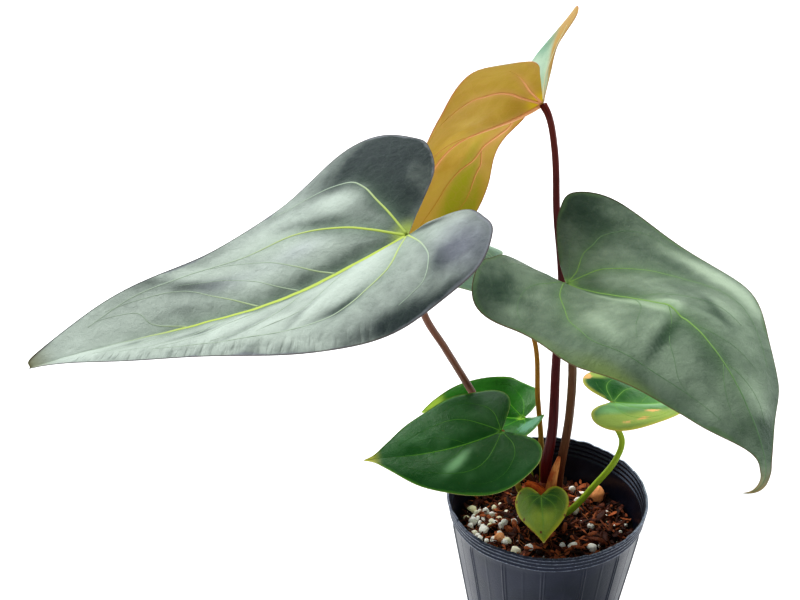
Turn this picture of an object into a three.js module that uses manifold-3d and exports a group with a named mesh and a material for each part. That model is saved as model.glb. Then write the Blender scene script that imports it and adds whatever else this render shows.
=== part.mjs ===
// A potted anthurium hybrid: eight heart-shaped leaves, each on its own long petiole, rise from
// a short crown that stands in coir potting mix in a thin black nursery pot.
// Millimetres, +Z up. The origin is the middle of the pot's base, on the surface it stands on.
// -Y is the front, where the smallest leaf hangs over the mix.

import * as THREE from 'three';
import { mergeVertices } from 'three/addons/utils/BufferGeometryUtils.js';
import Module from 'manifold-3d';

const wasm = await Module();
wasm.setup();

// Driving dimensions
const CLEARANCE = 0.3;
const POT = {
  height: 95,
  rimRadius: 52.5,
  baseRadius: 36,
  wall: 1,
  floor: 1.4,
  sides: 45,
  ridges: 4,
  ridgePitch: 2.6,
  ridgeDepth: 0.6,
  pleats: 15,
  pleatDepth: 0.5,
  drains: 6,
  drainRadius: 4,
  drainRing: 23,
};
const MIX = { level: 71.5, roughness: 1.4, chips: 34, clusterBeads: 9, beadRadius: 2.8 };
const CROWN = { x: 0, y: 7, foot: 56, top: 99, radius: 8.4, sides: 16 };
const BLADE = { thickness: 0.8, ribDepth: 1, ribWidth: 1.3 };
const PETIOLE = { sides: 8, step: 14, bend: 7, gap: 0.5 };
const SOCKET_LENGTH = 16;
const SHEATH = { steps: 6, taper: 0.93, cup: 0.3, edge: 0.5, middle: 0.6 };
const COLOURS = {
  pot: 0x17191d,
  mix: 0x3a241c,
  crown: 0x5c2a18,
  velvet: 0x4f5f58,
  bronze: 0xb9923e,
  mint: 0x8fb39a,
  glossy: 0x2c5a2c,
  lime: 0x8fae4a,
  maroon: 0x4a2226,
  brown: 0x6b4a3a,
  olive: 0x8a6c28,
  green: 0x86a03a,
};

// Half outlines of the blades as shares of the leaf's length: how far forward of the petiole's
// joint, and how far out from the midrib. Each starts at the joint, goes back round the lobe
// and runs forward to the tip.
const OUTLINES = {
  longLeft: [
    [0, 0], [-0.09, 0.07], [-0.15, 0.145], [-0.17, 0.225], [-0.165, 0.305], [-0.07, 0.385],
    [0.125, 0.385], [0.35, 0.305], [0.6, 0.195], [0.825, 0.115], [0.985, 0.03], [1, 0],
  ],
  longRight: [
    [0, 0], [-0.085, 0.075], [-0.15, 0.145], [-0.175, 0.23], [-0.165, 0.3], [-0.07, 0.39],
    [0.125, 0.38], [0.35, 0.31], [0.6, 0.195], [0.825, 0.115], [0.985, 0.035], [1, 0],
  ],
  broadLeft: [
    [0, 0], [-0.075, 0.075], [-0.15, 0.17], [-0.19, 0.245], [-0.19, 0.325], [-0.07, 0.4],
    [0.125, 0.4], [0.375, 0.355], [0.61, 0.22], [0.81, 0.13], [0.94, 0.035], [1, 0.015],
    [1.06, 0.009], [1.12, 0],
  ],
  broadRight: [
    [0, 0], [-0.09, 0.065], [-0.15, 0.16], [-0.155, 0.245], [-0.155, 0.325], [-0.07, 0.415],
    [0.125, 0.38], [0.375, 0.37], [0.62, 0.25], [0.805, 0.145], [0.935, 0.035], [1, 0.015],
    [1.06, 0.009], [1.12, 0],
  ],
  newLeft: [
    [0, 0], [-0.035, 0.055], [-0.075, 0.11], [-0.115, 0.165], [-0.12, 0.26], [-0.07, 0.385],
    [0.15, 0.4], [0.35, 0.285], [0.625, 0.2], [0.82, 0.1], [0.95, 0.03], [1, 0],
  ],
  newRight: [
    [0, 0], [-0.07, 0.085], [-0.14, 0.175], [-0.26, 0.21], [-0.215, 0.32], [-0.075, 0.375],
    [0.16, 0.4], [0.345, 0.28], [0.63, 0.205], [0.82, 0.1], [0.95, 0.03], [1, 0],
  ],
  heart: [
    [0, 0], [-0.075, 0.08], [-0.145, 0.17], [-0.175, 0.25], [-0.16, 0.34], [-0.075, 0.42],
    [0.125, 0.445], [0.38, 0.385], [0.64, 0.265], [0.825, 0.115], [0.92, 0.035], [1, 0],
  ],
  slender: [
    [0, 0], [-0.1, 0.05], [-0.22, 0.125], [-0.28, 0.22], [-0.23, 0.33], [-0.09, 0.39],
    [0.12, 0.37], [0.35, 0.29], [0.6, 0.19], [0.82, 0.085], [0.94, 0.03], [1, 0],
  ],
  young: [
    [0, 0], [-0.09, 0.06], [-0.19, 0.145], [-0.24, 0.24], [-0.21, 0.35], [-0.08, 0.435],
    [0.12, 0.44], [0.38, 0.375], [0.625, 0.255], [0.825, 0.12], [0.935, 0.045], [1, 0],
  ],
};

// Bend stations lie along the midrib at these shares of the leaf's length.
const STATIONS = [-0.3, 0, 0.25, 0.5, 0.75, 1];
const TAILED_STATIONS = [-0.3, 0, 0.25, 0.5, 0.75, 0.94, 1.12];

// Each leaf: where its petiole joins, its length and the heading of its midrib, turned from +X;
// which point of its outline is the lobe's inner corner, the first one unless given; then at
// each station the pitch of the midrib, its turn away from the heading, the roll of the blade,
// the fold of each half up from flat and the further curl of each half out to its margin, all
// in degrees. The petiole's points run from the crown up to the joint.
const LEAVES = {
  left: {
    joint: [-74, -38, 271],
    length: 179,
    heading: 197,
    outline: ['longLeft', 'longRight'],
    pitch: [-27, -24, -19, -9, -9, -9],
    turn: [2, 1, 2, -2, -3, -4],
    roll: [5, 4, 4, 4, 2, 4],
    fold: [[32, 31, 21, 15, 17, 29], [18, 27, 22, 19, 32, 27]],
    curl: [[-49, -49, -45, -33, -23, -19], [-20, -20, -24, -7, -1, -3]],
    colour: 'velvet',
    steps: 2,
    rings: 8,
    petiole: {
      points: [[-5.6, 5.2, 91], [-9, 5, 101], [-22, 1.5, 119], [-32.5, 4, 139.5],
        [-40, 10.5, 151.5], [-55, -7, 190], [-66, -19, 218]],
      radius: [2.2, 1.8],
      colour: 'brown',
    },
  },
  right: {
    joint: [0.5, -25, 238],
    length: 153,
    heading: -40,
    outline: ['broadLeft', 'broadRight'],
    stations: TAILED_STATIONS,
    pitch: [-14, 3, 18, -7, -30, -40, 15],
    turn: [5, 0, -8, -19, -27, -36, -130],
    roll: [-19, -19, -15, -8, -5, -6, 0],
    fold: [[38, 22, 9, 2, -5, -11, 0], [48, 17, -10, -1, -16, -23, 0]],
    curl: [[28, 12, -1, -14, -27, -40, 0], [-58, -48, -11, -50, -53, -52, 0]],
    colour: 'velvet',
    steps: 2,
    rings: 8,
    petiole: {
      points: [[5.6, 5.2, 90], [6.2, 6, 103], [9, 2, 141], [8, -8, 179], [4, -20, 212]],
      radius: [2.5, 2.1],
      colour: 'brown',
    },
  },
  new: {
    joint: [-8, 45, 298],
    length: 139,
    heading: 171,
    outline: ['newLeft', 'newRight'],
    corner: 3,
    pitch: [-41, -37, -27, -63, -69, -83],
    turn: [4, 0, -6, 9, 10, 11],
    roll: [28, 34, 32, 34, 36, 35],
    fold: [[-31, 38, -1, -6, 0, 5], [59, 80, 36, -36, -73, -19]],
    curl: [[2, -41, 4, -21, -18, -10], [-42, -70, -57, -13, -15, -9]],
    lobes: [136, 40],
    colour: 'bronze',
    steps: 2,
    rings: 8,
    petiole: {
      points: [[0.3, 9, 93], [-0.6, 9, 106], [2, 12, 128], [3, 22, 164], [4.5, 31, 206],
        [1, 38, 240], [-1, 43, 272]],
      radius: [3.1, 1.7],
      colour: 'maroon',
    },
  },
  pale: {
    joint: [-29, 35, 216],
    length: 59,
    heading: 222,
    outline: ['slender', 'slender'],
    pitch: [23, 18, 13, 12, 6, -3],
    turn: [0, 0, 3, 2, 4, 4],
    roll: [-15, -19, -22, -25, -25, -25],
    fold: [[8, 3, -2, 0, 2, 4], [-5, 2, 8, 8, 8, 8]],
    curl: [[-20, -26, -31, -29, -27, -25], [-26, -22, -19, -19, -20, -20]],
    colour: 'mint',
    steps: 1,
    rings: 6,
    petiole: {
      points: [[-1.5, 14, 88], [-2, 18, 103], [-2.7, 22, 115], [-4.8, 28, 136], [-8.2, 30, 172],
        [-21, 33, 197]],
      radius: [1.6, 1.2],
      colour: 'olive',
    },
  },
  front: {
    joint: [-27, -22, 151],
    length: 71,
    heading: 200,
    outline: ['heart', 'heart'],
    pitch: [-14, -13, -8, -4, 0, -3],
    turn: [-1, 0, -2, -7, -11, -14],
    roll: [-12, -12, -16, -16, -18, -17],
    fold: [[15, 10, 5, 6, 7, 8], [7, 9, 11, 11, 10, 10]],
    curl: [[-4, -14, -24, -23, -23, -22], [-24, -21, -18, -18, -19, -19]],
    colour: 'glossy',
    steps: 1,
    rings: 6,
    petiole: {
      points: [[-6, 3, 82], [-12.7, 0.5, 93], [-17.3, -5.5, 108], [-24, -14, 131]],
      radius: [1.8, 1.4],
      colour: 'brown',
    },
  },
  inner: {
    joint: [-12, 28, 124],
    length: 55,
    heading: 178,
    outline: ['young', 'young'],
    pitch: [-43, -10, 10, 8, -3, -18],
    turn: [11, 0, -6, -4, 1, 5],
    roll: [-1, -7, -11, -17, -19, -21],
    fold: [[35, 25, 15, 13, 11, 8], [14, 19, 24, 22, 21, 20]],
    curl: [[-6, -11, -16, -17, -19, -20], [-26, -12, 2, -2, -6, -10]],
    colour: 'glossy',
    steps: 1,
    rings: 6,
    petiole: {
      points: [[-6, 11, 84], [-8.5, 17.5, 99], [-11, 25, 112]],
      radius: [1.7, 1.3],
      colour: 'green',
    },
  },
  yellow: {
    joint: [34, 22, 138],
    length: 60,
    heading: 10,
    outline: ['young', 'young'],
    pitch: [-6, -11, -16, -14, -17, -25],
    turn: [-9, 0, 11, 24, 32, 34],
    roll: [-6, -6, -7, -9, -9, -9],
    fold: [[14, 17, 19, 19, 20, 20], [12, 16, 19, 20, 21, 22]],
    curl: [[-6, -11, -16, -17, -19, -20], [-41, -33, -24, -22, -20, -17]],
    colour: 'lime',
    steps: 1,
    rings: 6,
    petiole: {
      points: [[6, 4, 77], [13, 3, 82], [25, 7, 95], [36, 12, 108], [39.5, 17, 117]],
      radius: [1.8, 1.6],
      colour: 'green',
    },
  },
  little: {
    joint: [-5, -16, 106],
    length: 32.5,
    heading: -92,
    outline: ['young', 'young'],
    pitch: [-6, -6, -5, -7, -11, -19],
    turn: [-2, 0, 2, 1, 0, 0],
    roll: [3, 3, 3, 3, 3, 3],
    fold: [[4, 4, 4, 4, 4, 4], [3, 3, 3, 3, 3, 3]],
    curl: [[-22, -22, -22, -22, -22, -22], [-34, -37, -40, -34, -29, -23]],
    colour: 'lime',
    steps: 1,
    rings: 6,
    petiole: {
      points: [[1, 0, 82], [-2, -8, 89]],
      radius: [1.4, 1.1],
      colour: 'green',
    },
  },
};

// Papery sheaths at the crown: points from root to tip, and the width at the root.
const SHEATHS = [
  { points: [[-2, 0, 90], [-6, -4, 99], [-12, -6, 107]], width: 9 },
  { points: [[2, 1, 90], [2, -2, 104], [5, 0, 119]], width: 6 },
];

// Small things
const radians = THREE.MathUtils.degToRad;
const vector = (x, y, z) => new THREE.Vector3(x, y, z);

function randomSource(seed) {
  let state = seed;
  return () => {
    state = (state * 1664525 + 1013904223) % 4294967296;
    return state / 4294967296;
  };
}

function closedGeometry(points, faces) {
  const geometry = new THREE.BufferGeometry();
  geometry.setAttribute('position', new THREE.Float32BufferAttribute(points.flat(), 3));
  geometry.setIndex(faces.flat());
  geometry.computeVertexNormals();
  return geometry;
}

function toSolid(geometry) {
  const bare = geometry.clone();
  bare.deleteAttribute('normal');
  bare.deleteAttribute('uv');
  const merged = mergeVertices(bare, 1e-4);
  return new wasm.Manifold(new wasm.Mesh({
    numProp: 3,
    vertProperties: new Float32Array(merged.attributes.position.array),
    triVerts: new Uint32Array(merged.index.array),
  }));
}

function toGeometry(solid) {
  const mesh = solid.getMesh();
  const geometry = new THREE.BufferGeometry();
  geometry.setAttribute('position', new THREE.Float32BufferAttribute(mesh.vertProperties, 3));
  geometry.setIndex(new THREE.Uint32BufferAttribute(mesh.triVerts, 1));
  geometry.computeVertexNormals();
  return geometry;
}

// A smooth curve through the points of an outline, with `steps` pieces between two points.
function smoothLine(points, steps) {
  const last = points.length - 1;
  const point = (i, axis) => {
    if (i < 0) return 2 * points[0][axis] - points[1][axis];
    if (i > last) return 2 * points[last][axis] - points[last - 1][axis];
    return points[i][axis];
  };
  const line = [];
  for (let i = 0; i < last; i += 1) {
    for (let k = 0; k < steps; k += 1) {
      line.push([0, 1].map((axis) => {
        const slopeFrom = (point(i + 1, axis) - point(i - 1, axis)) / 2;
        const slopeTo = (point(i + 2, axis) - point(i, axis)) / 2;
        return hermite(point(i, axis), point(i + 1, axis), slopeFrom, slopeTo, k / steps);
      }));
    }
  }
  line.push(points[last]);
  return line;
}

// The point at a share of the way along a line.
function pointAlong(line, share) {
  const place = share * (line.length - 1);
  const i = Math.min(Math.floor(place), line.length - 2);
  return [0, 1].map((axis) => THREE.MathUtils.lerp(line[i][axis], line[i + 1][axis], place - i));
}

function hermite(from, to, slopeFrom, slopeTo, u) {
  const v = 1 - u;
  return (1 + 2 * u) * v * v * from + u * v * v * slopeFrom
    + u * u * (3 - 2 * u) * to - u * u * v * slopeTo;
}

// The value between stations, with the slope at each station that of the parabola through it
// and its neighbours.
function between(at, stations, values) {
  const last = stations.length - 1;
  const x = THREE.MathUtils.clamp(at, stations[0], stations[last]);
  const slope = (i) => {
    if (i === 0) return (values[1] - values[0]) / (stations[1] - stations[0]);
    if (i === last) {
      return (values[last] - values[last - 1]) / (stations[last] - stations[last - 1]);
    }
    const left = stations[i] - stations[i - 1];
    const right = stations[i + 1] - stations[i];
    const slopeLeft = (values[i] - values[i - 1]) / left;
    const slopeRight = (values[i + 1] - values[i]) / right;
    return (slopeLeft * right + slopeRight * left) / (left + right);
  };
  let i = 0;
  while (i < last - 1 && x > stations[i + 1]) i += 1;
  const gap = stations[i + 1] - stations[i];
  const u = (x - stations[i]) / gap;
  return hermite(values[i], values[i + 1], slope(i) * gap, slope(i + 1) * gap, u);
}

// The bent surface of one leaf. A point is `forward` mm along the midrib from the joint and
// `out` mm from it, positive on the left half. The midrib is a curve in space that follows
// pitch and turn; each half leaves it at its fold angle and curls on at a steady rate.
class BentBlade {
  constructor(leaf) {
    this.leaf = leaf;
    this.stations = leaf.stations ?? STATIONS;
    this.reach = [-0.45, 1.2];
    this.count = 331;
    this.spine = [vector(0, 0, 0)];
    for (let i = 1; i < this.count; i += 1) {
      const step = this.frameAt(this.shareOf(i - 0.5)).along;
      step.multiplyScalar(((this.reach[1] - this.reach[0]) / (this.count - 1)) * leaf.length);
      this.spine.push(this.spine[i - 1].clone().add(step));
    }
    this.start = this.spinePoint(0);
  }

  shareOf(index) {
    return this.reach[0] + (index / (this.count - 1)) * (this.reach[1] - this.reach[0]);
  }

  spinePoint(share) {
    const span = this.reach[1] - this.reach[0];
    const place = ((share - this.reach[0]) / span) * (this.count - 1);
    const i = THREE.MathUtils.clamp(Math.floor(place), 0, this.count - 2);
    return this.spine[i].clone().lerp(this.spine[i + 1], place - i);
  }

  read(values, share) {
    return between(share, this.stations, values);
  }

  frameAt(share) {
    const pitch = radians(this.read(this.leaf.pitch, share));
    const turn = radians(this.read(this.leaf.turn, share));
    const roll = radians(this.read(this.leaf.roll, share));
    const along = vector(
      Math.cos(pitch) * Math.cos(turn),
      Math.cos(pitch) * Math.sin(turn),
      Math.sin(pitch),
    );
    const level = vector(-Math.sin(turn), Math.cos(turn), 0);
    const up = along.clone().cross(level);
    const side = level.clone().multiplyScalar(Math.cos(roll)).addScaledVector(up, Math.sin(roll));
    up.multiplyScalar(Math.cos(roll)).addScaledVector(level, -Math.sin(roll));
    return { along, side, up };
  }

  pointAt(forward, out) {
    const { length, fold, curl, lobes } = this.leaf;
    const share = forward / length;
    const half = out >= 0 ? 0 : 1;
    const sign = out >= 0 ? 1 : -1;
    const width = Math.abs(out);
    const { side, up } = this.frameAt(share);
    const bend = radians(this.read(curl[half], share)) / (0.35 * length);
    const angle = radians(this.read(fold[half], share)) + (bend * width) / 2;
    const chord = width * sinc((bend * width) / 2);
    const point = this.spinePoint(share).sub(this.start);
    point.addScaledVector(side, chord * Math.cos(angle) * sign);
    point.addScaledVector(up, chord * Math.sin(angle));
    if (lobes && forward < 0) this.bendLobe(point, -forward, radians(lobes[half]));
    return point;
  }

  // Behind the joint a lobe bends further, on a circle towards the blade's upper side.
  bendLobe(point, back, angle) {
    const turn = (angle * back) / (0.3 * this.leaf.length);
    const joint = this.frameAt(0);
    point.addScaledVector(joint.along, back - back * sinc(turn));
    point.addScaledVector(joint.up, back * sinc(turn / 2) * Math.sin(turn / 2));
  }

  normalAt(forward, out) {
    const step = 0.01 * this.leaf.length;
    const along = this.pointAt(forward + step, out).sub(this.pointAt(forward - step, out));
    const across = this.pointAt(forward, out + step).sub(this.pointAt(forward, out - step));
    return along.cross(across).normalize();
  }
}

function sinc(x) {
  return Math.abs(x) < 1e-6 ? 1 : Math.sin(x) / x;
}

// One half of a blade is crossed by rays from the joint to points of its margin, from the
// lobe's inner corner on to the tip. The first ray is the edge of the notch between the lobes;
// the next ones share its bend less and less. Each ray gives a point for a share of its length.
function halfRays(leaf, side) {
  const corner = leaf.corner ?? 1;
  const sign = side === 0 ? 1 : -1;
  const outline = smoothLine(OUTLINES[leaf.outline[side]], leaf.steps);
  const notch = outline.slice(0, corner * leaf.steps + 1);
  const margin = outline.slice(corner * leaf.steps);
  const [cornerForward, cornerOut] = margin[0];
  return margin.map(([forward, out], i) => {
    const weight = Math.max(0, 1 - (3 * i) / (margin.length - 1)) ** 2;
    return (share) => {
      const [notchForward, notchOut] = pointAlong(notch, share);
      return [
        forward * share + weight * (notchForward - cornerForward * share),
        sign * (out * share + weight * (notchOut - cornerOut * share)),
      ];
    };
  });
}

// The rays of both halves, with a rib under the midrib and under two more rays of each half.
// A rib is three rays close together, the middle one low; it narrows and thins to the margin.
function ribbedRays(leaf) {
  const left = halfRays(leaf, 0);
  const right = halfRays(leaf, 1);
  const rays = [...left, ...right.slice(0, -1).reverse()];
  const tip = left.length - 1;
  const quarter = Math.round(0.25 * tip);
  const middle = Math.round(0.55 * tip);
  const ribbed = [quarter, middle, tip, 2 * tip - middle, 2 * tip - quarter];
  const besides = (ray, next) => (share) => {
    const from = ray(share);
    const to = next(share);
    const gap = Math.hypot(to[0] - from[0], to[1] - from[1]) * leaf.length;
    const move = Math.min(0.45, BLADE.ribWidth / Math.max(gap, 1e-6));
    return [0, 1].map((axis) => THREE.MathUtils.lerp(from[axis], to[axis], move));
  };
  return rays.flatMap((ray, i) => {
    const plain = { at: ray, rib: 0 };
    if (!ribbed.includes(i)) return [plain];
    return [
      { at: besides(ray, rays[i - 1]), rib: 0 },
      { at: ray, rib: i === tip ? 1 : 0.6 },
      { at: besides(ray, rays[i + 1]), rib: 0 },
    ];
  });
}

// The blade is a thin slab. Rings cross the rays, and both faces are split into triangles
// alike; the lower face dips at the ribs.
function bladeGeometry(leaf) {
  const bent = new BentBlade(leaf);
  const rays = ribbedRays(leaf);
  const { rings, length } = leaf;
  const points = [];
  const addPair = ([forward, out], depth) => {
    const place = bent.pointAt(forward * length, out * length);
    const normal = bent.normalAt(forward * length, out * length);
    points.push(
      place.clone().addScaledVector(normal, BLADE.thickness / 2).toArray(),
      place.clone().addScaledVector(normal, -BLADE.thickness / 2 - depth).toArray(),
    );
  };
  const ribDepth = BLADE.ribDepth * Math.sqrt(length / LEAVES.left.length);
  addPair([0, 0], 0);
  for (let ring = 1; ring <= rings; ring += 1) {
    const share = ring / rings;
    rays.forEach(({ at, rib }) => addPair(at(share), rib * ribDepth * (1 - share)));
  }
  const upper = (ring, ray) => (ring === 0 ? 0 : 2 * (1 + (ring - 1) * rays.length + ray));
  const faces = [];
  const addBoth = (a, b, c) => faces.push([a, b, c], [a + 1, c + 1, b + 1]);
  const addRim = (a, b) => faces.push([a, a + 1, b + 1], [a, b + 1, b]);
  for (let ray = 0; ray < rays.length - 1; ray += 1) {
    addBoth(0, upper(1, ray + 1), upper(1, ray));
    for (let ring = 1; ring < rings; ring += 1) {
      addBoth(upper(ring, ray), upper(ring + 1, ray + 1), upper(ring + 1, ray));
      addBoth(upper(ring, ray), upper(ring, ray + 1), upper(ring + 1, ray + 1));
    }
    addRim(upper(rings, ray + 1), upper(rings, ray));
  }
  for (let ring = 0; ring < rings; ring += 1) {
    addRim(upper(ring + 1, 0), upper(ring, 0));
    addRim(upper(ring, rays.length - 1), upper(ring + 1, rays.length - 1));
  }
  return closedGeometry(points, faces);
}

// A petiole is a tube that tapers from its base. Its top bends to meet the blade square on.
function petiolePath(leaf) {
  const joint = vector(...leaf.joint);
  const up = new BentBlade(leaf).frameAt(0).up;
  up.applyAxisAngle(vector(0, 0, 1), radians(leaf.heading));
  const reach = BLADE.thickness / 2 + PETIOLE.gap;
  const points = leaf.petiole.points.map((point) => vector(...point));
  points.push(joint.clone().addScaledVector(up, -PETIOLE.bend));
  points.push(joint.clone().addScaledVector(up, -reach));
  return new THREE.CatmullRomCurve3(points, false, 'centripetal');
}

function taperedTube(curve, radiusAt, sides, steps) {
  const frames = curve.computeFrenetFrames(steps, false);
  const points = [];
  const faces = [];
  for (let i = 0; i <= steps; i += 1) {
    const centre = curve.getPointAt(i / steps);
    const radius = radiusAt(i / steps);
    for (let k = 0; k < sides; k += 1) {
      const angle = (2 * Math.PI * k) / sides;
      points.push(centre.clone()
        .addScaledVector(frames.normals[i], radius * Math.cos(angle))
        .addScaledVector(frames.binormals[i], radius * Math.sin(angle))
        .toArray());
    }
  }
  for (let i = 0; i < steps; i += 1) {
    for (let k = 0; k < sides; k += 1) {
      const a = sides * i + k;
      const b = sides * i + ((k + 1) % sides);
      faces.push([a, b, b + sides], [a, b + sides, a + sides]);
    }
  }
  for (let k = 1; k < sides - 1; k += 1) {
    faces.push([0, k + 1, k], [sides * steps, sides * steps + k, sides * steps + k + 1]);
  }
  return closedGeometry(points, faces);
}

function petioleGeometry(leaf) {
  const curve = petiolePath(leaf);
  const [base, top] = leaf.petiole.radius;
  const steps = Math.max(6, Math.round(curve.getLength() / PETIOLE.step));
  const radiusAt = (u) => top + (base - top) * (1 - u) ** 2;
  return taperedTube(curve, radiusAt, PETIOLE.sides, steps);
}

// The hole that a petiole's base sits in: the same tube, wider and deeper by the clearance.
function socketSolid(leaf) {
  const [first, second] = leaf.petiole.points.map((point) => vector(...point));
  const along = second.clone().sub(first).normalize();
  const start = first.clone().addScaledVector(along, -CLEARANCE);
  const end = first.clone().addScaledVector(along, SOCKET_LENGTH);
  const curve = new THREE.CatmullRomCurve3([start, first.clone().lerp(end, 0.5), end]);
  const radius = leaf.petiole.radius[0] + 2 * CLEARANCE;
  return toSolid(taperedTube(curve, () => radius, PETIOLE.sides, 2));
}

// A sheath is a pointed strip, folded a little along its middle.
function sheathSolid({ points, width }) {
  const curve = new THREE.CatmullRomCurve3(points.map((point) => vector(...point)));
  const { steps, taper, cup, edge: edgeHalf, middle } = SHEATH;
  const outward = vector(0, -1, 0);
  const rows = [];
  for (let i = 0; i <= steps; i += 1) {
    const u = i / steps;
    const centre = curve.getPoint(u);
    const along = curve.getTangent(u);
    const side = outward.clone().cross(along).normalize();
    const normal = along.clone().cross(side).normalize();
    const half = (width / 2) * Math.sqrt(1 - taper * u);
    const edge = (sign, lift) => centre.clone()
      .addScaledVector(side, sign * half)
      .addScaledVector(normal, lift - cup * half)
      .toArray();
    rows.push([
      edge(1, edgeHalf),
      centre.clone().addScaledVector(normal, middle).toArray(),
      edge(-1, edgeHalf),
      edge(-1, -edgeHalf),
      centre.clone().addScaledVector(normal, -middle).toArray(),
      edge(1, -edgeHalf),
    ]);
  }
  const faces = [];
  const count = rows[0].length;
  for (let i = 0; i < steps; i += 1) {
    for (let k = 0; k < count; k += 1) {
      const a = count * i + k;
      const b = count * i + ((k + 1) % count);
      faces.push([a, b, b + count], [a, b + count, a + count]);
    }
  }
  const end = count * steps;
  faces.push([0, 5, 1], [5, 4, 1], [1, 4, 2], [4, 3, 2]);
  faces.push([end, end + 1, end + 5], [end + 5, end + 1, end + 4]);
  faces.push([end + 1, end + 2, end + 4], [end + 4, end + 2, end + 3]);
  return toSolid(closedGeometry(rows.flat(), faces));
}

// Lathe profiles are lists of radius and height; the lathe's own axis is turned to +Z.
function turned(profile, sides) {
  const geometry = new THREE.LatheGeometry(profile.map(([r, z]) => new THREE.Vector2(r, z)), sides);
  geometry.rotateX(Math.PI / 2);
  return geometry;
}

function crownGeometry() {
  const { foot, top, radius, sides } = CROWN;
  const height = top - foot;
  const profile = [
    [0, 0], [0.8, 0], [1, 0.08], [0.97, 0.38], [1.06, 0.45], [0.96, 0.52], [1.02, 0.62],
    [0.92, 0.7], [0.9, 0.8], [0.74, 0.9], [0.45, 0.97], [0, 1],
  ].map(([r, z]) => [r * radius, foot + z * height]);
  const geometry = turned(profile, sides);
  geometry.translate(CROWN.x, CROWN.y, 0);
  let solid = toSolid(geometry);
  SHEATHS.forEach((sheath) => {
    solid = solid.add(sheathSolid(sheath));
  });
  Object.values(LEAVES).forEach((leaf) => {
    solid = solid.subtract(socketSolid(leaf));
  });
  return toGeometry(solid);
}

// The pot's outer radius grows evenly from base to rim, with ridges under the rim.
function potRadius(z) {
  return POT.baseRadius + ((POT.rimRadius - POT.baseRadius) * z) / POT.height;
}

function potGeometry() {
  const { height, floor, wall, sides, ridges, ridgePitch, ridgeDepth } = POT;
  const band = height - ridges * ridgePitch;
  const outer = [[potRadius(2) - 0.5, 0], [potRadius(2), 2], [potRadius(band - 1), band - 1]];
  const inner = [[potRadius(floor) - wall, floor]];
  for (let i = 0; i < ridges; i += 1) {
    const z = band + i * ridgePitch;
    outer.push([potRadius(z), z], [potRadius(z) + ridgeDepth, z + ridgePitch / 2]);
    inner.push([potRadius(z) - wall, z], [potRadius(z) + ridgeDepth - wall, z + ridgePitch / 2]);
  }
  outer.push([potRadius(height), height - 0.4], [potRadius(height) - 0.4, height]);
  inner.push([potRadius(height) - wall, height - 0.4]);
  const profile = [[0, 0], ...outer, ...inner.reverse(), [0, floor]];
  const geometry = turned(profile, sides);
  pleat(geometry, band);
  let solid = toSolid(geometry);
  for (let i = 0; i < POT.drains; i += 1) {
    const angle = (2 * Math.PI * i) / POT.drains;
    const drain = new THREE.CylinderGeometry(POT.drainRadius, POT.drainRadius, 4 * floor, 8);
    drain.rotateX(Math.PI / 2);
    drain.translate(POT.drainRing * Math.cos(angle), POT.drainRing * Math.sin(angle), floor / 2);
    solid = solid.subtract(toSolid(drain));
  }
  return toGeometry(solid);
}

// Upright pleats on the outside, below the ridges: every third side corner stands out.
function pleat(geometry, band) {
  const position = geometry.attributes.position;
  const step = POT.sides / POT.pleats;
  for (let i = 0; i < position.count; i += 1) {
    const [x, y, z] = [position.getX(i), position.getY(i), position.getZ(i)];
    const radius = Math.hypot(x, y);
    const corner = Math.round((Math.atan2(y, x) / (2 * Math.PI)) * POT.sides);
    const outside = radius > potRadius(z) - 0.2 && z > 0 && z < band - 0.5;
    if (outside && ((corner % step) + step) % step === 0) {
      const scale = 1 + POT.pleatDepth / radius;
      position.setXY(i, x * scale, y * scale);
    }
  }
}

// The potting mix fills the pot to its level, with an uneven top.
function mixHeight(x, y) {
  const waves = Math.sin(0.21 * x + 1) * Math.cos(0.17 * y) + 0.6 * Math.sin(0.37 * y - 0.29 * x);
  const calm = THREE.MathUtils.smoothstep(Math.hypot(x - CROWN.x, y - CROWN.y), 12, 22);
  return MIX.level + MIX.roughness * waves * calm;
}

function mixBody() {
  const bottom = POT.floor + CLEARANCE;
  const fit = (z) => potRadius(z) - POT.wall - 1.5 * CLEARANCE;
  const profile = [[0, bottom], [fit(bottom), bottom], [fit(MIX.level), MIX.level]];
  for (const radius of [42, 36, 29, 22, 14]) profile.push([radius, MIX.level]);
  profile.push([0, MIX.level]);
  const geometry = turned(profile, POT.sides);
  const position = geometry.attributes.position;
  for (let i = 0; i < position.count; i += 1) {
    const [x, y, z] = [position.getX(i), position.getY(i), position.getZ(i)];
    if (z > MIX.level - 1 && Math.hypot(x, y) < 43) position.setZ(i, mixHeight(x, y));
  }
  return toSolid(geometry);
}

// Coir chips and pumice beads lie half sunk in the mix, thickest at the left of the pot.
const BEADS = [
  [-21, -12], [-10, -19], [-17, -20], [8, -13], [13, -16], [23, -17], [17, 34], [24, 2], [-38, -4],
];
const CLAY_LUMPS = [[29, 27], [-25, -9]];

function addLump(solid, geometry, x, y, lift) {
  geometry.translate(x, y, mixHeight(x, y) + lift);
  return solid.add(toSolid(geometry));
}

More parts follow.
